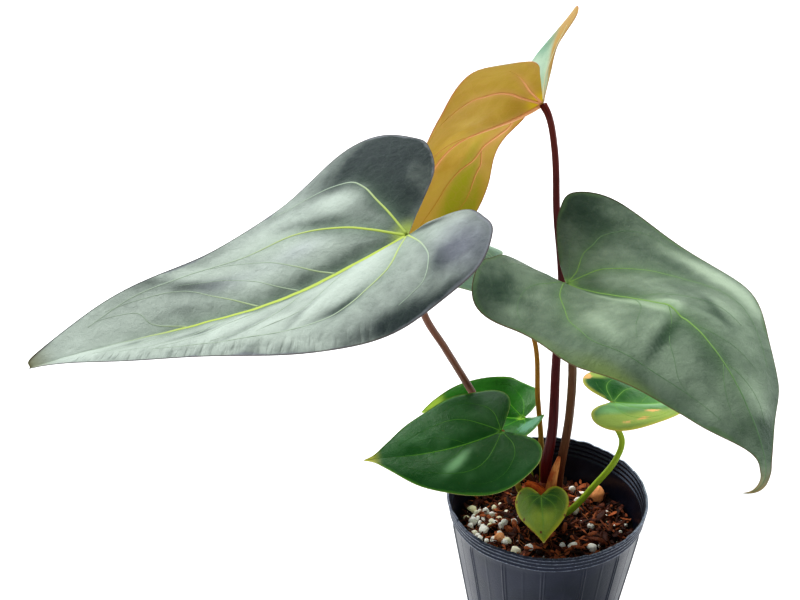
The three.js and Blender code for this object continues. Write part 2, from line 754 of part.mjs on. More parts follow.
function mixGeometry() {
  const random = randomSource(20);
  const spread = (size) => (random() - 0.5) * size;
  let solid = mixBody();
  for (let i = 0; i < MIX.chips; i += 1) {
    const radius = 15 + 27 * Math.sqrt(random());
    const angle = 2 * Math.PI * random();
    const chip = new THREE.BoxGeometry(4 + 6 * random(), 2 + 2.5 * random(), 2.2 + 1.4 * random());
    chip.rotateX(spread(0.5));
    chip.rotateY(spread(0.5));
    chip.rotateZ(2 * Math.PI * random());
    solid = addLump(solid, chip, radius * Math.cos(angle), radius * Math.sin(angle), 0.2);
  }
  const cluster = Array.from({ length: MIX.clusterBeads }, () => [-31 + spread(15), 4 + spread(22)]);
  [...cluster, ...BEADS].forEach(([x, y]) => {
    const bead = new THREE.IcosahedronGeometry(MIX.beadRadius * (0.85 + 0.3 * random()), 0);
    bead.rotateX(3 * random());
    solid = addLump(solid, bead, x, y, 0.9);
  });
  CLAY_LUMPS.forEach(([x, y]) => {
    solid = addLump(solid, new THREE.IcosahedronGeometry(4.4, 0), x, y, 1.6);
  });
  return toGeometry(stemHoles(solid));
}

// Plain holes for the crown and for the lowest petioles.
function stemHoles(solid) {
  const radius = 1.06 * CROWN.radius + CLEARANCE;
  const hole = new THREE.CylinderGeometry(radius, radius, 60, CROWN.sides);
  hole.rotateX(Math.PI / 2);
  hole.translate(CROWN.x, CROWN.y, CROWN.foot - CLEARANCE + 30);
  return solid.subtract(toSolid(hole));
}

function named(name, geometry, colour, roughness) {
  const material = new THREE.MeshStandardMaterial({ color: colour, roughness, metalness: 0 });
  const mesh = new THREE.Mesh(geometry, material);
  mesh.name = name;
  return mesh;
}

function buildLeaf(name, leaf) {
  const group = new THREE.Group();
  const blade = named(`blade_${name}`, bladeGeometry(leaf), COLOURS[leaf.colour], 0.5);
  blade.position.set(...leaf.joint);
  blade.rotation.z = radians(leaf.heading);
  group.add(blade);
  group.add(named(`petiole_${name}`, petioleGeometry(leaf), COLOURS[leaf.petiole.colour], 0.5));
  return group;
}

const plant = new THREE.Group();
plant.add(named('pot', potGeometry(), COLOURS.pot, 0.4));
plant.add(named('potting_mix', mixGeometry(), COLOURS.mix, 0.95));
plant.add(named('crown', crownGeometry(), COLOURS.crown, 0.7));
for (const [name, leaf] of Object.entries(LEAVES)) plant.add(buildLeaf(name, leaf));

export default plant;
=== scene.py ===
"""A potted anthurium hybrid, dressed for the camera.

Eight heart-shaped leaves on long petioles rise from a short crown in coir potting mix, in a thin
black nursery pot. The surfaces follow the same bends as the solids, with finer points, veins,
relief and procedural finishes. Lengths are in millimetres until a mesh is made, which is in metres.
"""

import logging
import math
from dataclasses import dataclass, field, replace
from enum import Enum
from functools import reduce
from typing import Callable, Sequence, Union

import bpy
import numpy as np
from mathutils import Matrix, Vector


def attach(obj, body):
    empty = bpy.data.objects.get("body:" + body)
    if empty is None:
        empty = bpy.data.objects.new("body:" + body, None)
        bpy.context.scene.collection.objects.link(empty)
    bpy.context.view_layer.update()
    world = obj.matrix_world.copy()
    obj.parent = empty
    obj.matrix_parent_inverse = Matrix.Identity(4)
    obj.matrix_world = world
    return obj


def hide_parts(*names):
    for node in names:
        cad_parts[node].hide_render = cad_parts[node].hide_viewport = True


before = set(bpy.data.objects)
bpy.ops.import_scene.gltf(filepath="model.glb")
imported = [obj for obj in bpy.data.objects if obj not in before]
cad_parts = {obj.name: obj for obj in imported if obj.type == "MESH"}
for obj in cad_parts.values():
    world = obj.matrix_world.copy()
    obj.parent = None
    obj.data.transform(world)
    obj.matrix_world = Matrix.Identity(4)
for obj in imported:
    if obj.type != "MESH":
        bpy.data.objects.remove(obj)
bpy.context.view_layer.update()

LOG = logging.getLogger("anthurium")
METRE = 0.001
FLAT_UNIT = 100.0
ROOT = "root"

Array = np.ndarray
Piece = bpy.types.Object
Material = bpy.types.Material
Colour = tuple[float, float, float]
Point = tuple[float, float, float]
Share = tuple[float, float]
Bends = tuple[float, ...]


class Slot(Enum):
    """The material slots of the record."""

    VELVET_LEAF = "velvet_leaf"
    NEW_LEAF = "new_leaf"
    PALE_LEAF = "pale_leaf"
    GLOSSY_LEAF = "glossy_leaf"
    YELLOWING_LEAF = "yellowing_leaf"
    BROWN_PETIOLE = "brown_petiole"
    MAROON_PETIOLE = "maroon_petiole"
    OLIVE_PETIOLE = "olive_petiole"
    GREEN_PETIOLE = "green_petiole"
    POT = "pot"
    POTTING_MIX = "potting_mix"
    CROWN = "crown"


class Face(Enum):
    """The two faces of a blade."""

    UPPER = "upper"
    UNDER = "under"


class Half(Enum):
    """The two halves of a blade, seen along the midrib."""

    LEFT = 0
    RIGHT = 1

    @property
    def sign(self) -> float:
        """+1 for the left half and -1 for the right one."""
        return 1.0 if self is Half.LEFT else -1.0


def hermite(start: Array, end: Array, slope_start: Array, slope_end: Array,
            u: Array) -> Array:
    """Cubic between two values with given slopes, at u from 0 to 1.

    Args:
        start: First value.
        end: Last value.
        slope_start: Slope at the first.
        slope_end: Slope at the last.
        u: Places, 0 to 1.

    Returns:
        The value at each place.
    """
    v = 1 - u
    return ((1 + 2 * u) * v * v * start + u * v * v * slope_start
            + u * u * (3 - 2 * u) * end - u * u * v * slope_end)


def smooth_line(points: Sequence[Sequence[float]], steps: int) -> Array:
    """A smooth line through points.

    Args:
        points: The points, in any number of dimensions.
        steps: Pieces between two points.

    Returns:
        Rows of points; the given ones are every `steps` rows.
    """
    known = np.asarray(points, float)
    ends = np.vstack([2 * known[0] - known[1], known, 2 * known[-1] - known[-2]])
    slopes = (ends[2:] - ends[:-2]) / 2
    u = np.linspace(0, 1, steps, endpoint=False)[:, None]
    pieces = [hermite(known[i], known[i + 1], slopes[i], slopes[i + 1], u)
              for i in range(len(known) - 1)]
    return np.vstack(pieces + [known[-1:]])


def in_pairs(row: Sequence[float]) -> Array:
    """Rows of two from a flat row of numbers."""
    return np.reshape(np.array(row, float), (-1, 2))


def run_along(line: Array) -> Array:
    """Distance from the start of a line to each of its points."""
    return np.concatenate([[0], np.cumsum(np.linalg.norm(np.diff(line, axis=0), axis=1))])


def between(places: Array | float, knots: Array, table: Array) -> Array:
    """Rows of a table at places between its knots, straight from one to the next."""
    return np.stack([np.interp(places, knots, column) for column in table.T], -1)


def evened(line: Array, gap: float, least: int) -> Array:
    """The same line with its points about `gap` apart, in `least` pieces or more."""
    run = run_along(line)
    return between(np.linspace(0, run[-1], max(least, int(run[-1] / gap)) + 1), run, line)


def even_line(points: Sequence[Sequence[float]], gap: float) -> Array:
    """A smooth line through points, with its rows about `gap` apart."""
    return evened(smooth_line(points, 40), gap, 6)


def centripetal(points: Sequence[Sequence[float]], gap: float) -> Array:
    """A centripetal Catmull-Rom curve through points.

    The knots lie apart by the roots of the distances. Each piece blends the straight lines
    between neighbours, then those blends, by where the parameter lies between two knots.

    Args:
        points: The points.
        gap: Distance between two rows of the result.

    Returns:
        Rows of points from the first to the last.
    """
    known = np.asarray(points, float)
    ends = np.vstack([2 * known[0] - known[1], known, 2 * known[-1] - known[-2]])
    pieces = []
    for i in range(1, len(ends) - 2):
        rows = list(ends[i - 1:i + 3])
        knots = np.concatenate([[0], np.cumsum(np.linalg.norm(np.diff(rows, axis=0), axis=1) ** 0.5)])
        t = np.linspace(knots[1], knots[2], 60, endpoint=False)[:, None]
        for span in (1, 2):
            rows = [((knots[k + span] - t) * rows[k] + (t - knots[k]) * rows[k + 1])
                    / (knots[k + span] - knots[k]) for k in range(4 - span)]
        pieces.append(((knots[2] - t) * rows[0] + (t - knots[1]) * rows[1]) / (knots[2] - knots[1]))
    return evened(np.vstack(pieces + [known[-1:]]), gap, 8)


def smoothstep(low: float, high: float, value: Array) -> Array:
    """0 below `low`, 1 above `high`, and smooth between."""
    u = np.clip((value - low) / (high - low), 0, 1)
    return u * u * (3 - 2 * u)


def bell(value: Array, middle: float, width: float) -> Array:
    """1 at the middle, falling off to both sides as a bell."""
    return np.exp(-((value - middle) / width) ** 2)


def turns(count: int) -> Array:
    """Angles of points evenly round a circle."""
    return np.arange(count) * 2 * math.pi / count


def unit(vectors: Array) -> Array:
    """Vectors at length 1."""
    return vectors / np.maximum(np.linalg.norm(vectors, axis=-1, keepdims=True), 1e-9)


def waves(points: Array, scale: float, seed: int, octaves: int = 3) -> Array:
    """Smooth pseudo-random values from -1 to 1: a sum of sines in random directions.

    Args:
        points: Rows of 2 or 3 coordinates in millimetres.
        scale: Longest wavelength.
        seed: Seed of the directions and phases.
        octaves: How many times the wavelength is halved.

    Returns:
        One value for each point.
    """
    rng = np.random.default_rng(seed)
    total = np.zeros(points.shape[:-1])
    weight, norm = 1.0, 0.0
    for octave in range(octaves):
        for _ in range(4):
            direction = rng.normal(size=points.shape[-1])
            direction /= np.linalg.norm(direction)
            pull = 2 * math.pi * 2**octave / scale
            total += weight * np.sin(points @ direction * pull + rng.uniform(0, 2 * math.pi))
        norm += weight * 2
        weight *= 0.55
    return np.clip(total / norm, -1, 1)


@dataclass
class Sheet:
    """Points, faces and per-point data of a mesh under construction, in millimetres."""

    points: list[Array] = field(default_factory=list)
    faces: list[Array] = field(default_factory=list)
    slots: list[Array] = field(default_factory=list)
    data: dict[str, list[Array]] = field(default_factory=dict)
    flat: list[Array] = field(default_factory=list)
    count: int = 0

    def add(self, points: Array, faces: Sequence[Array], flat: Array, slot: int = 0,
            **data: Array | float) -> None:
        """Adds points, faces that index them, and values for each point.

        Args:
            points: Rows of points.
            faces: Arrays of index rows; the rows of one array have one length.
            flat: Rows of two flat coordinates.
            slot: Which material the faces have.
            **data: Values for each point, by the attribute's name.
        """
        base = self.count
        self.points.append(points)
        self.flat.append(flat)
        for name, values in data.items():
            self.data.setdefault(name, []).append(np.broadcast_to(values, (len(points),)))
        for rows in faces:
            self.join(rows + base, slot)
        self.count += len(points)

    def join(self, faces: Array, slot: int) -> None:
        """Adds faces over points that are there already."""
        self.faces.append(faces)
        self.slots.append(np.full(len(faces), slot))

    def build(self, name: str, materials: Sequence[Material], smooth: bool = True) -> Piece:
        """Makes the object, with a UV map `flat` in tenths of a metre.

        Args:
            name: Name of the piece.
            materials: One for each slot of the faces.
            smooth: Whether the faces are shaded smooth.

        Returns:
            The object, at the origin and in metres.
        """
        points = np.vstack(self.points) * METRE
        mesh = bpy.data.meshes.new(name)
        loops = np.concatenate([rows.ravel() for rows in self.faces]).astype(np.int32)
        totals = np.concatenate([np.full(len(rows), rows.shape[1]) for rows in self.faces])
        starts = np.concatenate([[0], np.cumsum(totals)[:-1]]).astype(np.int32)
        for part, size, key, values in (
                (mesh.vertices, len(points), "co", points.ravel()),
                (mesh.loops, len(loops), "vertex_index", loops),
                (mesh.polygons, len(totals), "loop_start", starts)):
            part.add(size)
            part.foreach_set(key, values)
        mesh.polygons.foreach_set("material_index", np.concatenate(self.slots).astype(np.int32))
        mesh.polygons.foreach_set("use_smooth", np.full(len(totals), smooth))
        for material in materials:
            mesh.materials.append(material)
        layer = mesh.uv_layers.new(name="flat")
        layer.data.foreach_set("uv", (np.vstack(self.flat) / FLAT_UNIT)[loops].ravel())
        for label, values in self.data.items():
            attribute = mesh.attributes.new(label, "FLOAT", "POINT")
            attribute.data.foreach_set("value", np.concatenate(values).astype(np.float32))
        mesh.update(calc_edges=True)
        mesh.validate()
        thing = bpy.data.objects.new(name, mesh)
        bpy.context.scene.collection.objects.link(thing)
        return thing


def grid_faces(rows: int, columns: int, closed: bool) -> Array:
    """Quads of a grid of points.

    Args:
        rows: Rows of the grid.
        columns: Points of a row.
        closed: Whether the last column joins the first.

    Returns:
        Rows of four indices, row of the grid by row.
    """
    row, column = np.meshgrid(np.arange(rows - 1), np.arange(columns if closed else columns - 1),
                              indexing="ij")
    after = (column + 1) % columns
    a, b = row * columns + column, row * columns + after
    c, d = (row + 1) * columns + after, (row + 1) * columns + column
    return np.stack([a, b, c, d], -1).reshape(-1, 4)


def grid_edge(rows: int, columns: int) -> Array:
    """The points round the edge of an open grid, in order.

    Args:
        rows: Number of rows of points.
        columns: Number of columns.

    Returns:
        Indices of the points.
    """
    return np.concatenate([
        np.arange(rows) * columns, (rows - 1) * columns + np.arange(1, columns),
        np.arange(rows - 2, -1, -1) * columns + columns - 1, np.arange(columns - 2, 0, -1)])


def fan(first: int, columns: int, centre: int, flip: bool) -> Array:
    """Triangles from a closed ring of points to one point.

    Args:
        first: Index of the ring's first point.
        columns: Number of points in the ring.
        centre: Index of the point they run to.
        flip: Whether the triangles are turned round.

    Returns:
        The triangles' point indices.
    """
    here, after = first + np.arange(columns), first + (np.arange(columns) + 1) % columns
    pair = (after, here) if flip else (here, after)
    return np.stack([*pair, np.full(columns, centre)], -1)


def closed_faces(rows: int, columns: int, flip: bool = False) -> list[Array]:
    """Faces of rings of points whose ends run to the two points that follow the rings.

    Args:
        rows: Number of rings.
        columns: Number of points in a ring.
        flip: Whether the faces are turned round.

    Returns:
        The quads and the two fans of triangles.
    """
    grid, size = grid_faces(rows, columns, True), rows * columns
    return [grid[:, ::-1] if flip else grid, fan(0, columns, size, not flip),
            fan(size - columns, columns, size + 1, flip)]


def capped_faces(rows: int, columns: int, turn: int = 1) -> list[Array]:
    """Faces of rings of points with one flat face at each end.

    Args:
        rows: Number of rings.
        columns: Number of points in a ring.
        turn: 1, or -1 to turn the faces round.

    Returns:
        The quads and the two end faces.
    """
    ring = np.arange(columns)
    caps = np.array([ring[::-1], (rows - 1) * columns + ring])
    return [faces[:, ::turn] for faces in (grid_faces(rows, columns, True), caps)]


def rim_faces(edge: Array, size: int) -> Array:
    """Quads that join the edge of a sheet to that of its other side, `size` points on."""
    ahead = np.roll(edge, -1)
    return np.stack([edge, ahead, ahead + size, edge + size], -1)


def pairs(first: Array, second: Array) -> Array:
    """Flat coordinates of a grid from its rows' and its columns' values."""
    return np.stack(np.broadcast_arrays(first[:, None], second), -1).reshape(-1, 2)


def tube(sheet: Sheet, path: Array, radius: Array, **data: Array) -> None:
    """Adds a closed tube: a ring of points square to the path, carried along it.

    Args:
        sheet: Where it goes.
        path: Rows of points.
        radius: For each point of the path one row of values round it.
        **data: Values for each point of the path.
    """
    tangents = unit(np.gradient(path, axis=0))
    side = unit(np.cross(tangents[0], [0.3, 1.0, 0.2]))
    sides_at = []
    for tangent in tangents:
        side = unit(side - tangent * (side @ tangent))
        sides_at.append(side)
    across = np.array(sides_at)
    up = np.cross(tangents, across)
    sides = radius.shape[1]
    angle = turns(sides)
    ring = across[:, None] * np.cos(angle)[:, None] + up[:, None] * np.sin(angle)[:, None]
    points = (path[:, None] + ring * radius[..., None]).reshape(-1, 3)
    flat, ends = pairs(run_along(path), angle * radius.mean()), [0, -1]
    spread = {name: np.append(np.repeat(values, sides), values[ends]) for name, values in data.items()}
    sheet.add(np.vstack([points, path[ends]]), closed_faces(len(path), sides),
              np.vstack([flat, flat[ends]]), **spread)


Socket = bpy.types.NodeSocket
Value = Union[Socket, float, tuple]
TISSUE = ("Net", "Grain", "Ripple", "Cloud")


class Nodes:
    """Adds nodes to a tree and joins them; a value may be a socket or a constant."""

    def __init__(self, tree: bpy.types.NodeTree) -> None:
        """Keeps the tree."""
        self.tree = tree

    def feed(self, target: Socket, value: Value) -> None:
        """Links a socket, or sets a constant.

        Args:
            target: The input that gets it.
            value: A socket, a number, a vector or a colour.
        """
        if isinstance(value, Socket):
            self.tree.links.new(value, target)
        elif target.type == "RGBA":
            target.default_value = (*value, 1)
        else:
            target.default_value = value

    def add(self, kind: str, settings: dict | None = None, **inputs: Value) -> bpy.types.Node:
        """Adds a node.

        Args:
            kind: Its type.
            settings: Its own properties.
            **inputs: Values of its inputs, with _ for a space.

        Returns:
            The node.
        """
        node = self.tree.nodes.new(kind)
        for name, value in (settings or {}).items():
            setattr(node, name, value)
        for name, value in inputs.items():
            self.feed(node.inputs[name.replace("_", " ")], value)
        return node

    def math(self, operation: str, *values: Value, kind: str = "ShaderNodeMath") -> Socket:
        """A Math node.

        Args:
            operation: What it does.
            *values: What it takes, in the order of its inputs.
            kind: Another node with an operation, such as Vector Math.

        Returns:
            Its result.
        """
        node = self.add(kind, {"operation": operation})
        for target, value in zip(node.inputs, values):
            self.feed(target, value)
        return node.outputs[0]

    def vector(self, operation: str, *values: Value) -> Socket:
        """A Vector Math node."""
        return self.math(operation, *values, kind="ShaderNodeVectorMath")

    def times(self, a: Value, b: Value) -> Socket:
        """A product."""
        return self.math("MULTIPLY", a, b)

    def total(self, *values: Value) -> Socket:
        """A sum."""
        return reduce(lambda first, value: self.math("ADD", first, value), values)

    def swing(self, value: Value, reach: float) -> Socket:
        """A value of 0 to 1 turned into one about 0, `reach` wide."""
        return self.times(self.math("SUBTRACT", value, 0.5), reach)

    def mix(self, factor: Value, a: Value, b: Value) -> Socket:
        """A colour Mix node.

        Args:
            factor: Share of the second colour.
            a: The first colour.
            b: The second colour.

        Returns:
            The mixed colour.
        """
        node = self.add("ShaderNodeMix", {"data_type": "RGBA"})
        for index, value in ((0, factor), (6, a), (7, b)):
            self.feed(node.inputs[index], value)
        return node.outputs[2]

    def spread(self, value: Value, low: Value, high: Value, start: Value = 0.0,
               end: Value = 1.0) -> Socket:
        """A smooth Map Range node, from `low` and `high` to `start` and `end`."""
        return self.add("ShaderNodeMapRange", {"interpolation_type": "SMOOTHSTEP"}, Value=value,
                        From_Min=low, From_Max=high, To_Min=start, To_Max=end).outputs[0]

    def layers(self, colour: Value, *rows: tuple) -> Socket:
        """Lays colours over another, one after the other.

        Args:
            colour: The colour below them all.
            *rows: For each its colour, then what `spread` makes its share from.

        Returns:
            The mixed colour.
        """
        for over, *values in rows:
            colour = self.mix(self.spread(*values), colour, over)
        return colour

    def attribute(self, name: str) -> Socket:
        """The value of a mesh attribute."""
        return self.add("ShaderNodeAttribute", {"attribute_name": name}).outputs["Fac"]

    def noise(self, vector: Socket, scale: float, detail: float = 3.0, rough: float = 0.5,
              warp: float = 0.0) -> Socket:
        """Noise; a bump of it is about 1 / scale wide."""
        return self.add("ShaderNodeTexNoise", Vector=vector, Scale=scale, Detail=detail,
                        Roughness=rough, Distortion=warp).outputs["Fac"]

    def flat(self, stretch: float = 1.0) -> Socket:
        """The flat coordinates of the surface in millimetres, stretched along the first."""
        uv = self.add("ShaderNodeUVMap", {"uv_map": "flat"}).outputs[0]
        return self.vector("MULTIPLY", uv, (FLAT_UNIT / stretch, FLAT_UNIT, FLAT_UNIT))

    def place(self) -> Socket:
        """Object coordinates in millimetres."""
        spot = self.add("ShaderNodeTexCoord").outputs["Object"]
        return self.vector("MULTIPLY", spot, (1 / METRE,) * 3)

    def bump(self, height: Value, distance: float, strength: float = 1.0) -> Socket:
        """A Bump node; distance is in metres."""
        return self.add("ShaderNodeBump", Height=height, Distance=distance,
                        Strength=strength).outputs[0]

    def tissue(self, size: float) -> tuple[Socket, ...]:
        """Net, grain, ripple and cloud of a leaf whose tissue is `size` times as fine."""
        group = self.add("ShaderNodeGroup", {"node_tree": leaf_tissue()}, Vector=self.flat(), Size=size)
        return tuple(group.outputs[name] for name in TISSUE)


class Surface(Nodes):
    """The nodes of one material, round its Principled shader."""

    def __init__(self, name: str) -> None:
        """Makes the material.

        Args:
            name: Name of the material.
        """
        self.material = bpy.data.materials.new(name)
        self.material.use_nodes = True
        super().__init__(self.material.node_tree)

    def dress(self, thin: float = 0.0, **values: Value) -> Material:
        """Feeds the shader's inputs.

        Args:
            thin: Share of light that passes through, by a translucent shader in the same colour.
            **values: The values, with _ for a space.

        Returns:
            The material.
        """
        shader = self.tree.nodes["Principled BSDF"]
        for name, value in values.items():
            self.feed(shader.inputs[name.replace("_", " ")], value)
        if thin:
            through = self.add("ShaderNodeBsdfTranslucent", Color=values["Base_Color"])
            joined = self.add("ShaderNodeMixShader", Fac=thin)
            for target, source in zip(joined.inputs[1:], (shader, through)):
                self.feed(target, source.outputs[0])
            self.feed(self.tree.nodes["Material Output"].inputs["Surface"], joined.outputs[0])
        return self.material


def leaf_tissue() -> bpy.types.NodeTree:
    """The node group of a leaf's tissue, from flat millimetres.

    Net is 1 on the lines between cells about 5 mm wide and, fainter, between cells of 1.6 mm.
    Grain is the skin, Ripple its unevenness about 8 mm wide, and Cloud a slow change of tone.

    Returns:
        The group, made on the first call.
    """
    name = "leaf_tissue"
    if name in bpy.data.node_groups:
        return bpy.data.node_groups[name]
    tree = bpy.data.node_groups.new(name, "ShaderNodeTree")
    tree.interface.new_socket("Vector", in_out="INPUT", socket_type="NodeSocketVector")
    tree.interface.new_socket("Size", in_out="INPUT", socket_type="NodeSocketFloat")
    for label in TISSUE:
        tree.interface.new_socket(label, in_out="OUTPUT", socket_type="NodeSocketFloat")
    nodes = Nodes(tree)
    given, result = nodes.add("NodeGroupInput").outputs, nodes.add("NodeGroupOutput").inputs
    scaled = nodes.add("ShaderNodeVectorMath", {"operation": "SCALE"}, Vector=given["Vector"],
                       Scale=given["Size"]).outputs[0]
    wander = nodes.add("ShaderNodeTexNoise", Vector=scaled, Scale=0.12, Detail=2.0).outputs["Color"]
    bent = nodes.vector("MULTIPLY_ADD", wander, (5.0, 5.0, 5.0), scaled)
    lines = []
    for scale, width in ((0.2, 0.11), (0.6, 0.16)):
        cells = nodes.add("ShaderNodeTexVoronoi", {"feature": "DISTANCE_TO_EDGE"}, Vector=bent,
                          Scale=scale)
        lines.append(nodes.spread(cells.outputs["Distance"], 0.0, width, 1.0, 0.0))
    net = nodes.math("MAXIMUM", lines[0], nodes.times(lines[1], 0.45))
    for label, value in zip(TISSUE, (net, nodes.noise(scaled, 3.2, 3, 0.6),
                                     nodes.noise(scaled, 0.15, 4, 0.6, 0.25),
                                     nodes.noise(scaled, 0.035, 4, 0.55, 0.6))):
        nodes.feed(result[label], value)
    return tree


@dataclass(frozen=True)
class LeafFinish:
    """Colours in linear RGB, and surface, of one kind of blade."""

    dark: Colour  # deepest tone of the upper side, which the painted shade also reaches
    light: Colour  # palest tone of the upper side, also the colour of its painted sheen and highlights
    halo: Colour  # tone that spreads from the veins
    vein: Colour  # veins on the upper side, and the blade round the joint
    vein_end: Colour  # what the veins fade to
    margin: Colour  # thin rim
    border: Colour  # band inside the rim
    border_width: float  # how far that band reaches, as a share of its greatest reach
    under: Colour  # tone of the lower side
    under_light: Colour  # second tone of the lower side
    under_vein: Colour  # ribs below
    under_hub: Colour = (0.4, 0.45, 0.1)  # lower side round the joint
    tint: Colour = (0.3, 0.38, 0.1)  # tinted patches
    spot: Colour = (0.3, 0.12, 0.03)  # marks
    under_spot: Colour = (0.3, 0.28, 0.06)  # marks on the lower side
    tip: Colour = (0.3, 0.3, 0.1)
    tip_start: float = 0.95  # share of the length where the tip's colour begins
    rough: float = 0.42  # roughness of the upper side
    gloss: float = 0.15  # specular level of both sides
    thin: float = 0.1  # how much light passes through
    net: float = 0.08  # how clearly the net of small veins shows
    speckle: float = 0.0  # strength of small scattered specks in the marks' colour
    ripple: float = 1.0  # how uneven the upper side is
    crease: float = 0.0  # degrees from the midrib to the margin's run where it is pleated

    def upper_side(self, name: str, size: float) -> Material:
        """The upper side: tone with painted sheen and shade, halo round veins, margin band and rim,
        patches and tip.

        Args:
            name: Name of the leaf.
            size: How much finer its tissue is than on a leaf of 100 mm.

        Returns:
            The material.
        """
        skin = Surface(f"{name}_upper")
        net, grain, ripple, cloud = skin.tissue(size)
        rim, drift = skin.attribute("rim"), skin.swing(cloud, 0.55)
        height = skin.total(skin.times(ripple, self.ripple), skin.times(grain, 0.26 * self.ripple),
                            skin.times(net, -0.03))
        # The tone also rises with the ripple and grain that bump the skin: painted light on that relief.
        tone = skin.total(skin.attribute("tone"), drift, skin.swing(ripple, 0.3 * self.ripple),
                          skin.swing(grain, 0.2 * self.ripple))
        if self.crease:
            # Pleats bump the skin and also shift its tone: painted light and shade across them.
            pleat = skin.times(skin.attribute("pleat"), skin.swing(self._creases(skin), 1.0))
            tone = skin.total(tone, skin.times(pleat, 0.16))
            height = skin.total(height, skin.times(pleat, 0.9))
        colour = skin.layers(self.dark, (self.light, tone, -0.05, 1.05))
        for mask, share in ((skin.attribute("glow"), 0.22), (skin.attribute("vein"), 0.4),
                            (net, self.net)):
            colour = skin.mix(skin.times(mask, share), colour, self.halo)
        tint = skin.total(skin.attribute("tint"), skin.times(drift, 0.5))
        blot = skin.noise(skin.flat(), 0.35 * size, 4, 0.6, 0.8)
        mark = skin.total(skin.attribute("mark"), skin.swing(blot, 1.0))
        ripe = skin.total(skin.attribute("tip"), skin.times(drift, 0.1))
        colour = skin.layers(colour,
                             (self.border, skin.total(rim, drift), 0.0, self.border_width, 0.8, 0.0),
                             (self.tint, tint, 0.1, 0.85, 0.0, 0.95), (self.spot, mark, 0.2, 0.6))
        if self.speckle:
            specks = skin.noise(skin.flat(), 0.5 * size, 3, 0.6)
            colour = skin.layers(colour, (self.spot, specks, 0.64, 0.72, 0.0, self.speckle))
        colour = skin.layers(colour, (self.vein, skin.attribute("hub"), 0.1, 1.0, 0.0, 0.85),
                             (self.margin, rim, 0.0, 0.05, 0.9, 0.0),
                             (self.tip, ripe, self.tip_start, self.tip_start + 0.12, 0.0, 0.9))
        return skin.dress(self.thin, Base_Color=colour, Specular_IOR_Level=self.gloss,
                          Roughness=skin.total(skin.swing(grain, 0.14), self.rough),
                          Normal=skin.bump(height, 0.0018, 0.7))

    def _creases(self, skin: Surface) -> Socket:
        """Noise that is drawn out square to the margin, about 4 mm wide along it.

        Args:
            skin: The surface that gets it.

        Returns:
            The creases, 0 to 1.
        """
        turned = skin.add("ShaderNodeMapping", {"vector_type": "TEXTURE"}, Vector=skin.flat(),
                          Rotation=(0.0, 0.0, math.radians(self.crease)), Scale=(1.0, 5.0, 1.0))
        return skin.spread(skin.noise(turned.outputs[0], 0.26, 2, 0.5), 0.35, 0.65)

    def under_side(self, name: str, size: float) -> Material:
        """The lower side of a blade.

        Args:
            name: Name of the leaf.
            size: As for the upper side.

        Returns:
            The material.
        """
        skin = Surface(f"{name}_under")
        net, grain, ripple, cloud = skin.tissue(size)
        mark = skin.total(skin.attribute("mark"), skin.swing(cloud, 0.8))
        colour = skin.layers(self.under, (self.under_light, cloud, 0.3, 0.7),
                             (self.under_spot, mark, 0.1, 0.9, 0.0, 0.9))
        for mask, share in ((skin.attribute("vein"), 0.6), (net, self.net)):
            colour = skin.mix(skin.times(mask, share), colour, self.under_vein)
        colour = skin.layers(colour, (self.under_hub, skin.attribute("hub"), 0.1, 1.0, 0.0, 0.9),
                             (self.margin, skin.attribute("rim"), 0.0, 0.07, 0.85, 0.0))
        height = skin.total(skin.times(ripple, 0.6), skin.times(grain, 0.12), skin.times(net, 0.15))
        return skin.dress(self.thin, Base_Color=colour, Roughness=0.48, Specular_IOR_Level=self.gloss,
                          Normal=skin.bump(height, 0.0008, 0.5))

    def edge(self, name: str) -> Material:
        """The thin edge of the blade.

        Args:
            name: Name of the leaf.

        Returns:
            The material.
        """
        skin = Surface(f"{name}_rim")
        noise = skin.noise(skin.place(), 0.3)
        return skin.dress(Base_Color=skin.mix(noise, self.margin, self.border), Roughness=0.5)

    def ribs(self, name: str, face: Face) -> Material:
        """The veins of one face, bright at the root and fading along their length.

        Args:
            name: Name of the leaf.
            face: Which face they are on.

        Returns:
            The material.
        """
        skin = Surface(f"{name}_{face.value}_veins")
        near, far = (self.vein, self.vein_end) if face is Face.UPPER else (self.under_vein, self.under)
        noise = skin.noise(skin.place(), 0.8)
        fade = skin.times(skin.attribute("strong"), skin.spread(noise, 0.0, 0.5, 0.8, 1.0))
        return skin.dress(Base_Color=skin.layers(far, (near, fade, 0.1, 0.9)), Roughness=self.rough,
                          Specular_IOR_Level=self.gloss,
                          Normal=skin.bump(skin.noise(skin.place(), 2.5), 0.0001, 0.5))


@dataclass(frozen=True)
class StalkFinish:
    """Colours of a petiole from its base to its top, with a darker stripe."""

    slot: Slot
    base: Colour
    middle: Colour
    top: Colour
    stripe: Colour
    rough: float = 0.32

    def material(self, name: str) -> Material:
        """The skin, with streaks along it and small pale specks.

        Args:
            name: Name of the material.

        Returns:
            The material.
        """
        skin = Surface(name)
        along, speck = skin.attribute("along"), skin.noise(skin.place(), 1.3, 2, 0.5)
        streak = skin.noise(skin.flat(16.0), 1.1, 4, 0.6)
        colour = skin.layers(self.base, (self.middle, along, 0.0, 0.35), (self.top, along, 0.6, 1.0),
                             (self.stripe, streak, 0.5, 0.75, 0.0, 0.7),
                             (self.top, speck, 0.6, 0.75, 0.0, 0.3))
        return skin.dress(Base_Color=colour, Roughness=self.rough, Specular_IOR_Level=0.14,
                          Normal=skin.bump(streak, 0.00025, 0.5))


